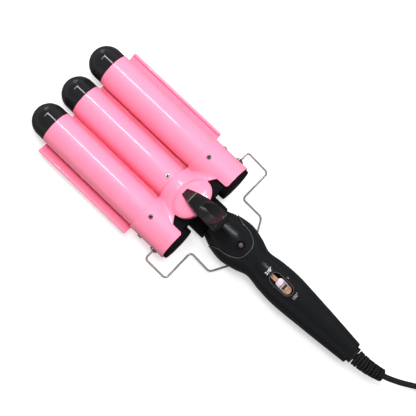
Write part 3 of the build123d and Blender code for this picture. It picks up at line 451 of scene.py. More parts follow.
# every carried-over solid gets its finish; the pieces below stand for the ones that they improve
CAD_FINISH = (
    (PINK, "trough_plate barrel_left barrel_right cover"),
    (CAP_BLACK, "cap_left cap_right cap_middle"),
    (CERAMIC, "heater_left heater_right heater_middle"),
    (ALUMINIUM, "spreader_left spreader_right spreader_middle"),
    (YOKE_BLACK, "yoke neck_carrier slide_switch cord_tie plug"),
    (HANDLE_BLACK, "neck_housing handle_front handle_rear switch_bezel"),
    (STEEL, "hinge_pin board_screws handle_screws clamp_screws stand_bushes cover_screws plate_screw"),
    (STEEL_WIRE, "hinge_spring wire_stand"),
    (CORD_BLACK, "cord_inner cord cord_tail cord_coil"),
    (BRONZE, "hinge_bushes"), (LEVER_BLACK, "thumb_lever"), (LENS_MAUVE, "lamp_lens"), (LAMP_RED, "lamp"),
    (SLIDE_TAN, "switch_slide"), (KNOB_ROSE, "switch_knob"), (BOARD_GREEN, "circuit_board"),
    (NYLON, "cord_clamp"), (CORE_BROWN, "lead_wires"), (RELIEF_BLACK, "strain_relief"), (NICKEL, "plug_pins"),
)
for finish, node_names in CAD_FINISH:
    for node_name in node_names.split():
        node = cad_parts[node_name]
        if not node.data.materials:
            node.data.materials.append(finish)
        for place in node.material_slots:
            place.material = finish


# ---- cord ----
COIL_X, COIL_Y, CORD_R = 73.0, -230.0, 2.5
COIL_RINGS = (22.5, 27.5, 32.5)
COIL_FROM, COIL_TO, COIL_STEP = -104.0, -20.0, 24.0
# slots of the winding, as (ring, layer), each beside the last
COIL_SLOTS = ((2, 0), (1, 0), (0, 0), (0, 1), (0, 2), (0, 3), (1, 3), (2, 3), (2, 2), (1, 2), (1, 1), (2, 1))


def relief_end():
    """End and direction of the strain relief's bent axis: an arc of 26 degrees, 28.4 mm long, rolled 47 degrees."""
    total, roll = math.radians(26.0), math.radians(47.0)
    r = 28.4 / total
    off, run = r * (1 - math.cos(total)), r * math.sin(total)
    ux, uz = math.cos(roll), -math.sin(roll)
    end = np.array([ux * off, HANDLE_END - 3.4 - run, OUTER_Z + uz * off])
    heading = np.array([ux * math.sin(total), -math.cos(total), uz * math.sin(total)])
    return end, heading


def coil_route():
    """Turns of the coil: the angle runs on, and every 300 degrees the turn moves to the next slot."""
    angle = np.arange(COIL_FROM + COIL_STEP, COIL_TO + 9 * 360.0 - 1.0, COIL_STEP)
    turned = angle - COIL_FROM
    ring = np.full_like(turned, COIL_RINGS[COIL_SLOTS[0][0]])
    layer = np.full_like(turned, CORD_R)
    for k, (a, b) in enumerate(zip(COIL_SLOTS, COIL_SLOTS[1:]), start=1):
        t = ease((turned - (300.0 * k - 10.0) + 25.0) / 50.0)
        ring += (COIL_RINGS[b[0]] - COIL_RINGS[a[0]]) * t
        layer += 2 * CORD_R * (b[1] - a[1]) * t
    a = np.radians(angle)
    # a control point of a round spline stands outside the turn
    out = ring * (1 + (1 - math.cos(math.radians(COIL_STEP / 2))) * 0.5)
    return stack(COIL_X + out * np.cos(a), COIL_Y + out * np.sin(a), layer)


def cord_route():
    """The cord's control points: out of the relief, down to the table, round the coil and on to the plug."""
    def edge(degrees, z):
        # a place on the coil's outer ring
        a = math.radians(degrees)
        return [COIL_X + COIL_RINGS[2] * math.cos(a), COIL_Y + COIL_RINGS[2] * math.sin(a), z]
    end, heading = relief_end()
    lead = [end, end + heading * 12.0, [21.0, -216.6, 6.6], [34.0, -239.5, CORD_R], [47.0, -257.0, CORD_R],
            edge(COIL_FROM, CORD_R)]
    tail = [edge(COIL_TO, 3 * CORD_R), [108.0, -228.9, 6.8], [109.0, -216.0, 6.8]]
    return chain(np.array(lead), coil_route(), np.array(tail))


def build_cord():
    """The free cord, as one smooth spline through its route."""
    points = cord_route() * MM
    data = bpy.data.curves.new("mains_cord", "CURVE")
    data.dimensions = "3D"
    data.bevel_depth = CORD_R * MM
    data.bevel_resolution = 6
    data.resolution_u = 8
    data.use_fill_caps = True
    spline = data.splines.new("NURBS")
    spline.points.add(len(points) - 1)
    spline.points.foreach_set("co", np.concatenate([points, np.ones((len(points), 1))], 1).ravel())
    spline.order_u = 3
    spline.use_endpoint_u = True
    cord = add("mains_cord", data)
    dress(cord, CORD_BLACK, "handle", ("cord", "cord_coil", "cord_tail"))
    tuple(float(v) for v in points[0])


build_cord()


# ---- barrels, caps and trough plate ----
def build_barrels():
    """Drawn tubes: outer and inner walls turned round the barrel's own axis, with a small round on the tip's lip."""
    def wall(foot):
        # a ring at each end of a long face keeps the lip's turned normals out of it
        return [(BARREL_R, foot), (BARREL_R, foot + 0.6), (BARREL_R, BARREL_TIP - 1.0),
                (BARREL_R, BARREL_TIP - 0.45), (BARREL_R - 0.08, BARREL_TIP - 0.15),
                (BARREL_R - 0.28, BARREL_TIP), (BORE_R, BARREL_TIP), (BORE_R, foot)]
    for side, name in ((1, "right"), (-1, "left")):
        ring = lathe(wall(BARREL_FOOT), (side * OUTER_X, 0, OUTER_Z), closed=True)
        make("tube_" + name, [ring], PINK, "jaw", "barrel_" + name)
    plate = [lathe(wall(PLATE_START), (0, 0, MIDDLE_Z), closed=True)]
    for side in (1, -1):
        plate += wing_sheets(side)
    make("trough_and_wings", plate, PINK, "handle", "trough_plate")


def strip(path, half, y0, y1):
    """Sheet metal from y0 to y1: the section's middle line (x, z) offset by half to both sides, with eased ends."""
    along = np.gradient(path, axis=0)
    along /= np.linalg.norm(along, axis=1)[:, None]
    square = stack(-along[:, 1], along[:, 0])
    cut = 0.3
    steps = [(0, cut), (0.3 * cut, 0.3 * cut), (cut, 0), (3 * cut, 0)]
    stations = [(y0 + dy, half - less) for dy, less in steps]
    stations += [(y1 - dy, half - less) for dy, less in reversed(steps)]
    rows = []
    for y, h in stations:
        front, back = path + square * h, path - square * h
        section = chain(front, back[::-1])
        rows.append(stack(section[:, 0], np.full(len(section), y), section[:, 1]))
    grid = np.stack(rows)
    n = len(path)
    ends = [np.stack([grid[k, :n], grid[k, n:][::-1]]) for k in (0, -1)]
    return [(grid, False, True)] + ends


def wing_sheets(side):
    """Web, trough round the outer barrel (an arc of TROUGH_R), flat wing and the rolled bead on its edge."""
    a = np.radians(np.linspace(213.0, 312.0, 72))
    trough = stack(OUTER_X + TROUGH_R * np.cos(a), OUTER_Z + TROUGH_R * np.sin(a))
    corner = rounded([(14.9, 12.2), (17.8, 13.1), trough[0]], [1.2])[:-1]
    path = chain(corner, trough, np.linspace([48.2, 9.68], [WING_X, 14.25], 8)) * [side, 1]
    turn = [(1.5 * math.sin(t), 0.6 * (1 - math.cos(t))) for t in (0.5, 1.0, 1.57)]
    bead = [(0, PLATE_START)] + [(r, PLATE_START + h) for r, h in turn]
    bead += [(r, PLATE_TIP - h) for r, h in reversed(turn)] + [(0, PLATE_TIP)]
    roll = lathe(bead, (side * WING_X, 0, 14.9), turns=28)
    return strip(path, SHEET_HALF, PLATE_START, PLATE_TIP) + [roll]


def build_caps():
    """Domed caps: a straight skirt, then half a sphere of the same radius, and the plug inside the barrel."""
    foot = [(0, BARREL_TIP - 6), (PLUG_R, BARREL_TIP - 6), (PLUG_R, BARREL_TIP), (CAP_R - 0.25, BARREL_TIP),
            (CAP_R - 0.06, BARREL_TIP + 0.1), (CAP_R, BARREL_TIP + 0.35), (CAP_R, BARREL_TIP + 0.9)]
    profile = chain(foot, dome(CAP_R, CAP_R, BARREL_TIP + CAP_STRAIGHT, 30))
    for name, x, z, body in (("left", -OUTER_X, OUTER_Z, "jaw"), ("right", OUTER_X, OUTER_Z, "jaw"),
                             ("middle", 0, MIDDLE_Z, "handle")):
        make("dome_" + name, [lathe(profile, (x, 0, z))], CAP_BLACK, body, "cap_" + name)


# ---- cover ----
NOTCH_X = np.array([16.5, 20.3, 25.9, 26.5, 26.8, 26.9, 27.0, 27.15, 27.5, 28.0, 28.7, 29.4])


def notch_line(x):
    """Handle edge of the cover over x: straight, a round of 2.4 into the notch's side at 27, then up to the hub."""
    return np.interp(x, NOTCH_X, [18.6, 15.6, 11.67, 11.0, 10.2, 9.4, 2.4, 1.56, 0.93, 0.45, 0.1, 0.0])


def arch(ax):
    """How far the cover's tip edge bows out between the tubes, a parabola over x."""
    return 1.7 * np.maximum(1 - (ax / COVER_PITCH_IN) ** 2, 0)


def edge_roll(past):
    """Height of the small roll along the tip edge, a bell over the distance past that edge."""
    return 0.3 * np.exp(-((past + 0.8) / 0.4) ** 2)


def cover_height(x, y):
    """Height over the outer axes: two tubes and the bridge between them, with the crowned hub blended in."""
    ax = np.abs(x)
    tube_top = np.where(ax >= COVER_PITCH_IN, np.sqrt(np.maximum(COVER_R ** 2 - (ax - OUTER_X) ** 2, 0)),
                        2 * (ax - COVER_PITCH_IN))
    bridge = np.where(ax < 19.2, np.sqrt(np.maximum(19.2 ** 2 - ax ** 2, 0)), -2 * (ax - 19.2)) - 6.4
    base = smooth_max(tube_top, bridge, 9.0)
    out = np.sqrt((x / HUB_X_R) ** 2 + ((y - HUB_Y) / HUB_Y_R) ** 2)
    crown = -34.5 + np.sqrt(np.maximum(3600 - x ** 2 - (y + 7.44) ** 2, 0))
    shoulder = 1.7 * ease((out - 0.84) / 0.22) + 2.5 * np.maximum(out - 1.1, 0) ** 2
    return smooth_max(base, crown + 0.3 - shoulder, 5.0) + edge_roll(y - COVER_LEN - arch(ax))


def cover_skin():
    """Top skin between x -27 and 27: rows across, columns from the handle edge's skirt to the arched tip edge."""
    turn = np.radians(np.linspace(62.24, 0, 40))
    half = chain(OUTER_X - COVER_R * np.cos(turn), np.linspace(COVER_PITCH_IN, 0, 44)[1:])
    x = chain(half, -half[::-1][1:])[:, None]
    ax = np.abs(x)
    hub_edge = HUB_Y - HUB_Y_R * np.sqrt(np.maximum(1 - (ax / HUB_X_R) ** 2, 0))
    beside = np.where(ax < 20.3, HUB_Y + (ax - HUB_X_R) * 1.375, notch_line(np.minimum(ax, 25.9)))
    low = np.where(ax < HUB_X_R, hub_edge, beside)
    low = np.where(ax > 25.9, 11.67 - (ax - 25.9) * 0.7, low)
    high = COVER_LEN + arch(ax)
    r = 0.7
    v = np.linspace(0, 1, 96)[None]
    y = (low + r) * (1 - v) + (high - r) * v
    z = cover_height(x, y)
    edge_z = z[:, :1]
    depth = np.maximum(0.3, (edge_z - r - 12.8) * ease((20.9 - ax) / 1.2))
    t = np.linspace(math.pi / 2, 0.15, 6)[None]
    round_y, round_z = low + r * (1 - np.sin(t)), edge_z - r * (1 - np.cos(t))
    f = np.linspace(1, 0, 14)[None]
    skirt_y, skirt_z = low + 0 * f, edge_z - r - depth * f
    t = t[:, ::-1]
    tip_y, tip_z = high - r * (1 - np.sin(t)), z[:, -1:] - r * (1 - np.cos(t))
    y = np.concatenate([skirt_y, round_y, y, tip_y], 1)
    z = np.concatenate([skirt_z, round_z, z, tip_z], 1)
    grid = stack(x + 0 * y, COVER_Y + y, OUTER_Z + z)
    return shell(grid, inward(grid, 1.5, (0, COVER_Y + 20, OUTER_Z - 30)))


def cover_tube(side):
    """One clamp tube: a full ring whose handle edge follows the notch, dipping where the skin covers it."""
    keys = np.degrees(np.arccos((np.append(NOTCH_X[1:], [18.5, 23.0]) - OUTER_X) / COVER_R))
    turn = np.unique(np.round(chain(np.linspace(0, 360, 121)[:-1], keys, 360 - keys), 4))
    x = OUTER_X + COVER_R * np.cos(np.radians(turn))
    low = notch_line(x)[:, None]
    dip = 0.02 + 0.45 * ease((turn - 117.9) / 6) * ease((192 - turn) / 8)
    v = chain([0, 0.004, 0.012], np.linspace(0.03, 0.93, 34), np.linspace(0.94, 1, 12))[None]
    y = low * (1 - v) + COVER_LEN * v
    a = np.radians(turn)[:, None]
    skins = []
    for r in ((COVER_R - dip)[:, None] + edge_roll(y - COVER_LEN), (COVER_R - 1.4 - dip)[:, None]):
        skins.append(stack(side * (OUTER_X + r * np.cos(a)) + 0 * y, COVER_Y + y,
                           OUTER_Z + r * np.sin(a) + 0 * y))
    return shell(*skins, wrap=True)


def build_cover():
    """Both clamp tubes and the skin that joins them, as one piece."""
    sheets = cover_tube(1) + cover_tube(-1) + cover_skin()
    make("clamp_cover", sheets, PINK, "jaw", "cover", bevel=0.4)


# ---- thumb lever ----
def build_lever():
    """A tapered bar: along its top line, each section a rounded box as wide as the plan, with an oval thumb dish."""
    line = rounded([(27.2, 13.2), (14.3, 27.0), (2.1, 34.7), (-19.4, 49.4), (-22.9, 47.6), (-22.6, 41.4)],
                   [0.7, 2.0, 2.4, 2.0])
    run = chain([0], np.cumsum(np.linalg.norm(np.diff(line, axis=0), axis=1)))
    s = chain(np.linspace(0, 2, 10)[:-1], np.linspace(2, run[-1], 150))
    yz = stack(np.interp(s, run, line[:, 0]), np.interp(s, run, line[:, 1]))
    soft = np.exp(-0.5 * (np.arange(-4, 5) / 1.6) ** 2)
    along = np.gradient(yz, axis=0)
    along = stack(*(np.convolve(np.pad(part, 4, "edge"), soft / soft.sum(), "valid") for part in along.T))
    along /= np.linalg.norm(along, axis=1)[:, None]
    square = stack(along[:, 1], -along[:, 0])
    wide = np.interp(s, [0, 0.25, 0.8, 1.8, 3.4, 17.0, 31.4, 43.4, 53.4, 58.4, 62.4, 67],
                     [0.4, 1.3, 2.1, 2.75, 3.3, 5.75, 8.0, 8.9, 9.1, 8.6, 7.2, 5.6])[:, None]
    thick = np.interp(s, [0, 1, 6, 16, 34, 55, 59, 65.5], [0.6, 1.6, 5.0, 9.0, 9.5, 8.6, 6.4, 4.2])[:, None]
    r = np.minimum(1.0, wide * 0.35)
    u = np.linspace(-1, 1, 49)
    q = np.linspace(0, math.pi / 2, 6)[1:-1]
    f = np.linspace(0, 1, 6)
    # shares of half width, corner radius and thickness in each point's place across and down
    top = [(k, -k, 0, 0) for k in u]
    right = [(1, math.sin(k) - 1, 0, math.cos(k) - 1) for k in q] + [(1, 0, -k, 2 * k - 1) for k in f]
    right += [(1, math.cos(k) - 1, -1, 1 - math.sin(k)) for k in q]
    under = [(k, -k, -1, 0) for k in np.linspace(1, -1, 11)]
    left = [(-a, -b, c, d) for a, b, c, d in reversed(right)]
    share = np.array(top + right + under + left).T[:, None]
    across = share[0] * wide + share[1] * r
    down = share[2] * thick + share[3] * r
    on_top = (share[2] == 0) & (share[3] == 0)
    middle, reach = 45.4, 13.0
    oval = np.sqrt(((s[:, None] - middle) / reach) ** 2 + (across / np.maximum(wide - 0.9, 1)) ** 2)
    keel = 0.45 + 0.55 * (1 - np.abs(across) / wide)
    bowl = 3.2 * np.maximum(1 - oval ** 2, 0) * keel - 0.22 * np.exp(-((oval - 1.02) / 0.06) ** 2)
    crown = 0.35 * (across / wide) ** 2 * ease((s[:, None] - 14) / 6)
    down = down - on_top * (bowl * (s[:, None] > 20) + crown)
    grid = stack(across, COVER_Y + yz[:, :1] + down * square[:, :1],
                 OUTER_Z + yz[:, 1:] + down * square[:, 1:])
    ends = [np.repeat(grid[k].mean(0)[None, None], grid.shape[1], 1) for k in (0, -1)]
    grid = chain(ends[0], grid, ends[1])
    make("thumb_rest", [(grid, False, True)], THUMB_BLACK, "jaw", "thumb_lever", crease=32)


# ---- handle ----
# the handle's half width and half depth at y
STATIONS = np.array([(HANDLE_END, 10.3, 10.1), (-107.8, 14.4, 14.0), (-74.0, 16.6, 16.0), (-59.0, 15.7, 15.5),
                     (-45.5, 13.9, 13.6), (-31.9, 18.0, 16.0), (-18.5, 20.5, 17.0), (-3.8, 18.4, 14.8),
                     (HANDLE_NECK, 14.6, 13.2)])
# the right half of the front shell's round end, in plan
LIP = np.array([(19.6, -2.4), (18.3, -4.1), (17.0, -6.4), (16.0, -9.0), (15.2, -12.0), (14.75, -15.0),
                (14.5, -18.0), (13.9, -21.0), (12.9, -24.0), (11.5, -26.6), (9.9, -29.0), (8.0, -30.8),
                (5.6, -32.0), (3.0, -32.6), (0.0, -32.8)])


def handle_half(y, column):
    """Half width (1) or half depth (2) at y: a cubic through the stations whose slopes are harmonic means."""
    ys, values = STATIONS[:, 0], STATIONS[:, column]
    steps = np.diff(values) / np.diff(ys)
    a, b = steps[:-1], steps[1:]
    inner = np.where(a * b > 0, 2 * a * b / np.where(a + b == 0, 1, a + b), 0.0)
    slopes = chain(steps[:1], inner, steps[-1:])
    i = np.clip(np.searchsorted(ys, y, side="right") - 1, 0, len(ys) - 2)
    h = ys[i + 1] - ys[i]
    t = (y - ys[i]) / h
    return (values[i] * (1 + 2 * t) * (1 - t) ** 2 + slopes[i] * h * t * (1 - t) ** 2
            + values[i + 1] * t * t * (3 - 2 * t) + slopes[i + 1] * h * t * t * (t - 1))


def handle_top(x, y):
    """Height of the handle's front over its middle plane at x and y."""
    return handle_half(y, 2) * np.sqrt(np.maximum(1 - (x / handle_half(y, 1)) ** 2, 0))


def lip_curve():
    """The round-ended edge of the front shell in plan, left to right, as many short runs."""
    t = np.linspace(0, len(LIP) - 1, 90)
    soft = np.ones(7) / 7
    right = []
    for axis in LIP.T:
        line = np.pad(np.interp(t, np.arange(len(axis)), axis), 3, "reflect", reflect_type="odd")
        right.append(np.convolve(line, soft, "valid"))
    right = stack(*right)
    right[-1, 0] = 0.0
    return chain(right * [-1, 1], right[::-1][1:])


def lip_distance(x, y):
    """Distance to the lip, positive on the front shell and negative on the neck housing inside it."""
    curve = lip_curve()
    a, b = curve[:-1], curve[1:]
    p = stack(x, y)[..., None, :]
    t = np.clip(((p - a) * (b - a)).sum(-1) / ((b - a) ** 2).sum(-1), 0, 1)
    gap = np.linalg.norm(p - (a + t[..., None] * (b - a)), axis=-1).min(-1)
    right = curve[curve[:, 0] >= 0]
    width = np.interp(y, right[:, 1], right[:, 0], left=-1.0)
    return np.where(np.abs(x) < width, -gap, gap)


def stadium_distance(x, y, half_len, half_wide):
    """Distance outside a slot along Y round (0, SWITCH_Y), negative inside."""
    over = np.maximum(np.abs(y - SWITCH_Y) - (half_len - half_wide), 0)
    return np.sqrt(x ** 2 + over ** 2) - half_wide


def handle_skin(front):
    """Half of the handle: an ellipse at each y, sunk where the neck housing shows and in the front's two wells."""
    runs = ((HANDLE_END, -152.6, 4), (-151, -87, 34), (-85.6, -56.4, 66), (-55, -37, 13), (-35.6, -1.0, 78),
            (0, 6.0, 8), (6.3, HANDLE_NECK, 2))
    y = np.concatenate([np.linspace(*run) for run in runs])
    edge = np.radians([0, 0.4, 0.9, 1.6])
    a = chain(edge, np.linspace(np.radians(2.6), math.pi - np.radians(2.6), 130), math.pi - edge[::-1])
    y, a = np.meshgrid(y, a, indexing="ij")
    w, d = handle_half(y, 1), handle_half(y, 2)
    x, z = w * np.cos(a), d * np.sin(a)
    outside = lip_distance(x, y) if front else -3.8 - y
    sink = NECK_SINK * (1 - ease((outside + 0.35) / 0.5)) + 0.35 * np.exp(-((outside + 0.55) / 0.35) ** 2)
    parting = np.minimum(a, math.pi - a) * 16.0
    sink += 0.3 * np.exp(-(parting / 0.35) ** 2)
    end = np.minimum(y - HANDLE_END, HANDLE_NECK - y)
    sink += 0.5 * np.maximum(1 - end / 0.6, 0) ** 2
    if front:
        sink += 7.5 * (1 - ease((stadium_distance(x, y, 12.2, 5.5) + 0.3) / 0.6))
        ring = np.sqrt(x ** 2 + (y - LAMP_Y) ** 2)
        sink += 1.3 * (1 - ease((ring - 3.1) / 0.6))
    slope = stack(x / w ** 2, z / d ** 2)
    slope /= np.linalg.norm(slope, axis=-1)[..., None]
    x, z = x - sink * slope[..., 0], z - sink * slope[..., 1]
    up, lift = (1, 0.0) if front else (-1, -0.05)
    outer = stack(x, y, OUTER_Z + lift + up * z)
    flat = outer.copy()
    flat[..., 2] = outer[:, :1, 2]
    flat[..., 0] = outer[:, :1, 0] + (outer[:, -1:, 0] - outer[:, :1, 0]) * np.linspace(0, 1, a.shape[1])[None]
    flat[:, -1] = outer[:, -1]
    ends = [np.stack([outer[k], flat[k]]) for k in (0, -1)]
    return [outer, flat] + ends


def build_handle():
    """Both halves, and the lip along the front shell's round end, painted paler grey as a highlight line."""
    make("grip_front", handle_skin(True), HANDLE_BLACK, "handle", ("handle_front", "neck_housing"),
         crease=50)
    make("grip_rear", handle_skin(False), HANDLE_BLACK, "handle", "handle_rear", crease=50)
    # the lip is a thin grey tube: a painted highlight along the shell's edge
    curve = lip_curve()[4:-4]
    z = handle_top(curve[:, 0], curve[:, 1])
    path = stack(curve[:, 0] * 0.995, curve[:, 1], OUTER_Z + z - 0.22)
    make("shell_lip", [tube(path, 0.42, (0, 0.2, 1), turns=12)], EDGE_HIGHLIGHT_GREY, "handle")


# ---- lamp and switch ----
def build_lamp():
    """A moulded ring in the lamp's well, near black as painted shade of the recess, and a low dome behind it."""
    top = OUTER_Z + 17.0 - NECK_SINK
    ring = [(3.75, top - 0.6), (3.7, top - 0.02), (3.45, top + 0.08), (3.2, top - 0.1), (3.0, top - 0.8),
            (2.2, top - 1.2), (2.2, top - 1.9), (3.75, top - 1.9)]
    make("lamp_ring", [lathe(ring, (0, LAMP_Y, 0), "z", 64, closed=True)], RECESS_SHADE_BLACK, "handle")
    lens = chain([(0, top - 3.0), (2.2, top - 3.0)], dome(2.2, 0.8, top - 1.0, 10))
    make("lamp_dome", [lathe(lens, (0, LAMP_Y, 0), "z", 48)], LENS_MAUVE, "handle", "lamp_lens")


def stadium_ring(profile, half_len, half_wide):
    """A closed profile of (distance out, height over the handle's front) carried round a slot's edge."""
    t = circle(96)
    straight = half_len - half_wide
    nx, ny = np.cos(t), np.sin(t)
    # even angles on the round ends, with the straight sides closed by their own quads
    cx, cy = half_wide * nx, half_wide * ny + straight * np.where(ny >= 0, 1, -1)
    profile = np.asarray(profile, float)
    out = profile[:, 0][:, None]
    x = cx + out * nx
    y = SWITCH_Y + cy + out * ny
    z = OUTER_Z + handle_top(x, y) + profile[:, 1][:, None]
    return stack(x, y, z), True, True


def build_switch():
    """Bezel, slide and knob; the knob is a stadium whose top dips to a saddle between two rounded lobes."""
    # the rim stops 3.2 down, so the slide's end passes under it
    rim = [(0.05, -3.2), (0.0, 0.1), (0.15, 0.34), (0.4, 0.46), (0.65, 0.34), (0.85, 0.08), (0.9, -0.8), (0.5, -3.2)]
    # the rim's paler grey is a painted highlight on the bezel's edge
    make("switch_rim", [stadium_ring(rim, 11.6, 4.9)], EDGE_HIGHLIGHT_GREY, "handle", "switch_bezel")
    # the slide's top lies 4.6 under the handle's front
    base = OUTER_Z + 16.0 - 4.6
    t = circle(96)
    ny = np.sin(t)
    edge = stack(KNOB_R * np.cos(t), KNOB_R * ny + 1.7 * np.where(ny >= 0, 1, -1))
    f = chain([1, 1, 0.995, 0.98, 0.955], np.linspace(0.925, 0, 34))[:, None]
    x, y = edge[:, 0] * f, edge[:, 1] * f
    hood = 1.3 * np.sqrt(np.maximum(1 - ((y - 1.9) / 4.4) ** 2, 0)) - 0.6 * (x / KNOB_R) ** 2
    well = 2.3 * ease((-0.9 - y) / 0.7) * ease((y + 5.0) / 0.5) * ease((3.1 - np.abs(x)) / 0.5)
    top = 3.2 + hood - well
    rise = np.array([0, 0.5, 0.82, 0.93, 0.985] + [1.0] * 34)[:, None]
    knob = stack(x, SWITCH_Y + y, base + 0.05 + top * rise)
    floor = np.repeat(np.array([[[0, SWITCH_Y, base + 0.05]]]), 96, 1)
    make("slide_knob", [(chain(floor, knob), False, True)], KNOB_ROSE, "slider", "switch_knob",
         crease=55)
    # a dark brown sheet in the knob's well: painted shade
    u, v = np.meshgrid(np.linspace(-2.95, 2.95, 12), np.linspace(-5.1, -1.2, 40), indexing="ij")
    pad = stack(u, SWITCH_Y + v, base + 1.35 + 0.14 * np.cos(v * 4.8))
    low = pad - [0, 0, 0.5]
    make("knob_well_shade", shell(pad, low), WELL_SHADE_BROWN, "slider")
    # side rails beside the well, drawn in at their ends to clear the slot's round end
    v = np.linspace(-0.5, -5.2, 24)
    rails = []
    for side in (1, -1):
        path = stack(side * (3.2 - 0.7 * ease((-3.2 - v) / 2.6)), SWITCH_Y + v,
                     base + 2.3 - 1.5 * ease((-2.0 - v) / 5.0))
        rails.append(tube(path, 0.36, (1, 0, 0), turns=12))
    make("knob_rails", rails, KNOB_ROSE, "slider")
    # slide plate: round-ended below the knob, a narrow grooved bar above it
    v, u = np.meshgrid(np.linspace(-10.3, 17.1, 120), np.linspace(-1, 1, 41), indexing="ij")
    round_end = np.sqrt(np.maximum(1 - (np.maximum(-6.4 - v, 0) / 3.95) ** 2, 0.02))
    x = u * (KNOB_R * round_end - 2.2 * ease((v - 1.0) / 2.0))
    groove = 0.25 * np.exp(-((np.abs(x) - 0.55) / 0.2) ** 2) * (v > 1)
    lip = 0.5 * ease((-5.6 - v) / 1.5) * (1 - u ** 4)
    plate = stack(x, SWITCH_Y + v, base - groove + lip - 0.6 * ease((v - 1.0) / 2.0))
    under = plate.copy()
    under[..., 2] = base - 1.2
    make("slide_plate", shell(plate, under), SLIDE_TAN, "slider", "switch_slide")


# name, words, size, x, y and finish
MARKS = (("mark_high", "210°", 3.9, 0.5, -55.9, MARK_WHITE), ("mark_low", "180°", 3.7, 0.4, -86.5, MARK_GREY),
         ("mark_off", "0", 2.5, 7.5, -71.3, MARK_GREY), ("mark_tick", "-", 2.2, -6.6, -67.9, MARK_GREY))


def build_marks():
    """Printed numbers: letter outlines cut into small faces and laid a hair over the handle's front."""
    for name, words, size, x, y, finish in MARKS:
        data = bpy.data.curves.new(name, "FONT")
        data.body = words
        data.size = size
        data.align_x, data.align_y = "CENTER", "CENTER"
        data.offset = 0.006 * size
        text = add(name, data)
        bpy.context.view_layer.update()
        mesh = bpy.data.meshes.new_from_object(text.evaluated_get(bpy.context.evaluated_depsgraph_get()))
        bpy.data.objects.remove(text)
        work = bmesh.new()
        work.from_mesh(mesh)
        bmesh.ops.subdivide_edges(work, edges=work.edges, cuts=2, use_grid_fill=True)
        work.to_mesh(mesh)
        work.free()
        at = np.empty(len(mesh.vertices) * 3)
        mesh.vertices.foreach_get("co", at)
        at = at.reshape(-1, 3)
        px, py = at[:, 0] + x, at[:, 1] + y
        at = stack(px, py, OUTER_Z + handle_top(px, py) + 0.07)
        mesh.vertices.foreach_set("co", (at * MM).ravel())
        mesh.update()
        dress(add(name, mesh), finish, "handle")


# ---- screws ----
def screw(place, axis, length):
    """Pan head and plain shank: radius and height down a polar grid, the cross cut where x or y is small."""
    face = np.linspace(0, 1.5, 19)
    r = chain(face, [1.7, 1.88, 2.02, 2.12, 2.2, 2.2, 1.2, 1.2, 0])[:, None]
    h = chain(1.15 - 0.05 * face ** 2, [0.98, 0.86, 0.7, 0.52, 0.3, 0, 0, -length, -length])[:, None]
    a = circle(96)[None] + 0.5
    near = np.minimum(np.abs(r * np.cos(a - 0.9)), np.abs(r * np.sin(a - 0.9)))
    cut = 0.75 * (1 - ease((near - 0.28) / 0.14)) * (1 - ease((r - 1.2) / 0.3)) * (h > 0.9)
    one, two, up = r * np.cos(a), r * np.sin(a), h - cut
    order = (one, two, up) if axis == "z" else (up * axis, one, two)
    return stack(*np.broadcast_arrays(*order)) + place, False, True


def recess(place, axis):
    """Painted shade in a screw's cross recess: two near-black crossing strips a little under the head's top."""
    sheets = []
    for turn in (0.9, 0.9 + math.pi / 2):
        u, v = np.meshgrid(np.linspace(-1.4, 1.4, 8), np.linspace(-0.3, 0.3, 3), indexing="ij")
        one, two = u * math.cos(turn) - v * math.sin(turn), u * math.sin(turn) + v * math.cos(turn)
        for h in (0.82, 0.6):
            up = np.full_like(u, h - 0.02 * (turn > 1))
            order = (one, two, up) if axis == "z" else (up * axis, one, two)
            sheets.append(stack(*order) + place)
    return [sheet for k in (0, 2) for sheet in shell(sheets[k], sheets[k + 1])]


def build_screws():
    """Four clamp screws and the trough's one, each with near-black strips in its recess as painted shade."""
    top, face = OUTER_Z + COVER_R - SCREW_SEAT, OUTER_X + COVER_R - SCREW_SEAT
    front = [((side * OUTER_X, FRONT_SCREW_Y, top), "z") for side in (1, -1)]
    outer = [((side * face, SIDE_SCREW_Y, OUTER_Z), side) for side in (1, -1)]
    trough = (0, TROUGH_SCREW_Y, MIDDLE_Z + BARREL_R - SCREW_SEAT)
    make("clamp_screws_front", [screw(place, axis, 8.0) for place, axis in front + outer], SCREW_DARK, "jaw",
         "cover_screws")
    make("trough_screw", [screw(trough, "z", 7.0)], SCREW_BRIGHT, "handle", "plate_screw")
    crosses = [sheet for pair in zip(front, outer) for place, axis in pair for sheet in recess(place, axis)]
    # near-black strips in the recesses: painted shade
    make("clamp_screw_recess_shades", crosses, RECESS_SHADE_BLACK, "jaw")
    make("trough_screw_recess_shade", recess(trough, "z"), RECESS_SHADE_BLACK, "handle")


# ---- stand ----
def build_stand():
    """Bent wire: straight runs joined by arcs, from pivot to pivot, falling evenly from the pivots to the table."""
    low_y = -29.2
    fall = (OUTER_Z - WIRE_R) / (PIVOT_Y - low_y)
    half = [(49.4, PIVOT_Y), (63.55, PIVOT_Y), (63.55, 4.2), (32.2, 4.2), (32.8, -18.0), (12.0, low_y)]
    right = [(x, y, OUTER_Z - (PIVOT_Y - y) * fall) for x, y in half]
    points = right + [(-x, y, z) for x, y, z in reversed(right)]
    path = arcs(points, [3.2, 3.2, 3.2, 5.12, 9.0, 9.0, 5.12, 3.2, 3.2, 3.2])
    make("rest_wire", [tube(path, WIRE_R, (0, fall, -1.0), turns=20)], STEEL_WIRE, "stand", "wire_stand")


for build in (build_barrels, build_caps, build_cover, build_lever, build_handle, build_lamp, build_switch,
              build_marks, build_screws, build_stand):
    build()


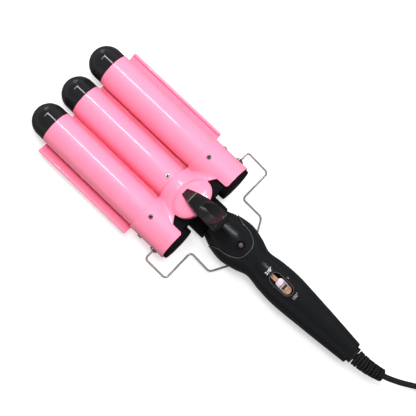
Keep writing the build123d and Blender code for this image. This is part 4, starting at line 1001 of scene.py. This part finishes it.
# ---- camera, floor and light ----
def place_camera():
    """Looks down at the lever side, a little from the left, rolled so that the tips point up and left."""
    az, el, roll = np.radians([-5.016, 5.952, -46.372]).tolist()
    back = Vector((math.sin(az) * math.cos(el), -math.sin(el), math.cos(az) * math.cos(el)))
    right = (-back).cross(Vector((0, 1, 0))).normalized()
    up = right.cross(-back)
    side = math.cos(roll) * right + math.sin(roll) * up
    top = -math.sin(roll) * right + math.cos(roll) * up
    turn = Matrix((side, top, back)).transposed().to_4x4()
    data = bpy.data.cameras.new("camera")
    data.sensor_width = 36.0
    data.lens = 102.45
    data.clip_start, data.clip_end = 0.05, 20.0
    camera = add("camera", data)
    camera.matrix_world = Matrix.Translation(Vector((-83.13, -85.61, 1026.07)) * MM) @ turn
    bpy.context.scene.camera = camera


def build_floor():
    """A plain pale floor that glossy finishes don't mirror."""
    mesh = bpy.data.meshes.new("floor")
    s = 6.0
    mesh.from_pydata([(-s, -s, 0), (s, -s, 0), (s, s, 0), (-s, s, 0)], [], [(0, 1, 2, 3)])
    floor = add("floor", mesh)
    f = Finish("floor_white")
    tone = f.node("ShaderNodeMix", {"data_type": "RGBA"},
                  {0: f.noise(3.0, 2.0), 6: (0.52, 0.52, 0.52, 1.0), 7: (0.55, 0.55, 0.55, 1.0)}, out=2)
    mesh.materials.append(f.shine(Base_Color=tone, Roughness=0.9, Specular_IOR_Level=0.1,
                                  Emission_Color=(1.0, 1.0, 1.0, 1.0), Emission_Strength=0.55))
    floor.visible_glossy = False


def area_light(name, place, aim, size, power, mirrored):
    """A rectangle of light that faces aim, its second side nearest to Y; glossy finishes see it only if mirrored."""
    data = bpy.data.lights.new(name, "AREA")
    data.shape = "RECTANGLE"
    data.size, data.size_y = size
    data.energy = power
    light = add(name, data)
    light.visible_glossy = mirrored
    back = (Vector(place) - Vector(aim)).normalized()
    along = (Vector((0, 1, 0)) - back * back.y).normalized()
    turn = Matrix((along.cross(back), along, back)).transposed().to_4x4()
    light.matrix_world = Matrix.Translation(Vector(place)) @ turn


# name, place, aim, size in metres, power in watts and whether glossy finishes mirror it
LIGHTS = (("key_strip", (0.41, 0.54, 0.97), (0, 0.45, 0), (0.1, 0.56), 3.4, True),
          ("cross_bar", (0.24, 0.80, 0.95), (0, 0.4, 0), (0.66, 0.07), 2.0, True),
          ("main_soft", (0.55, 0.02, 1.15), (0, 0, 0), (0.6, 0.9), 12.5, False),
          ("top_soft", (0.1, 0, 1.25), (0, 0, 0), (0.2, 0.9), 10.5, False),
          ("lever_card", (0.45, 1.0, 0.2), (0, 0, 0.05), (0.5, 0.3), 0.6, True))
# the sky's level by height: brightest at mid height, darker overhead and at the horizon
SKY = ((0.0, 0.14), (0.2, 0.3), (0.4, 0.42), (0.6, 0.3), (0.85, 0.14))
BACKDROP = 0.85


def build_light():
    """A sky whose dark part is lower towards the tips, the plain backdrop seen in its place, and the lights."""
    world = bpy.data.worlds.new("studio")
    sky = Nodes(world)
    way = sky.node("ShaderNodeTexCoord", out="Generated")
    y, z = (sky.node("ShaderNodeSeparateXYZ", None, {0: way}, out=axis) for axis in "YZ")
    height = sky.node("ShaderNodeMath", {"operation": "MULTIPLY_ADD", "use_clamp": True}, {0: y, 1: 0.42, 2: z})
    level = sky.node("ShaderNodeValToRGB", {"stops": SKY}, {0: height})
    seen = sky.node("ShaderNodeLightPath", out="Is Camera Ray")
    shown = sky.node("ShaderNodeMix", None, {0: seen, 2: level, 3: BACKDROP})
    glow = sky.node("ShaderNodeBackground", None, {0: shown})
    sky.node("ShaderNodeOutputWorld", None, {"Surface": glow})
    bpy.context.scene.world = world
    bpy.context.scene.view_settings.view_transform = "Standard"
    for light in LIGHTS:
        area_light(*light)


place_camera()
build_floor()
build_light()
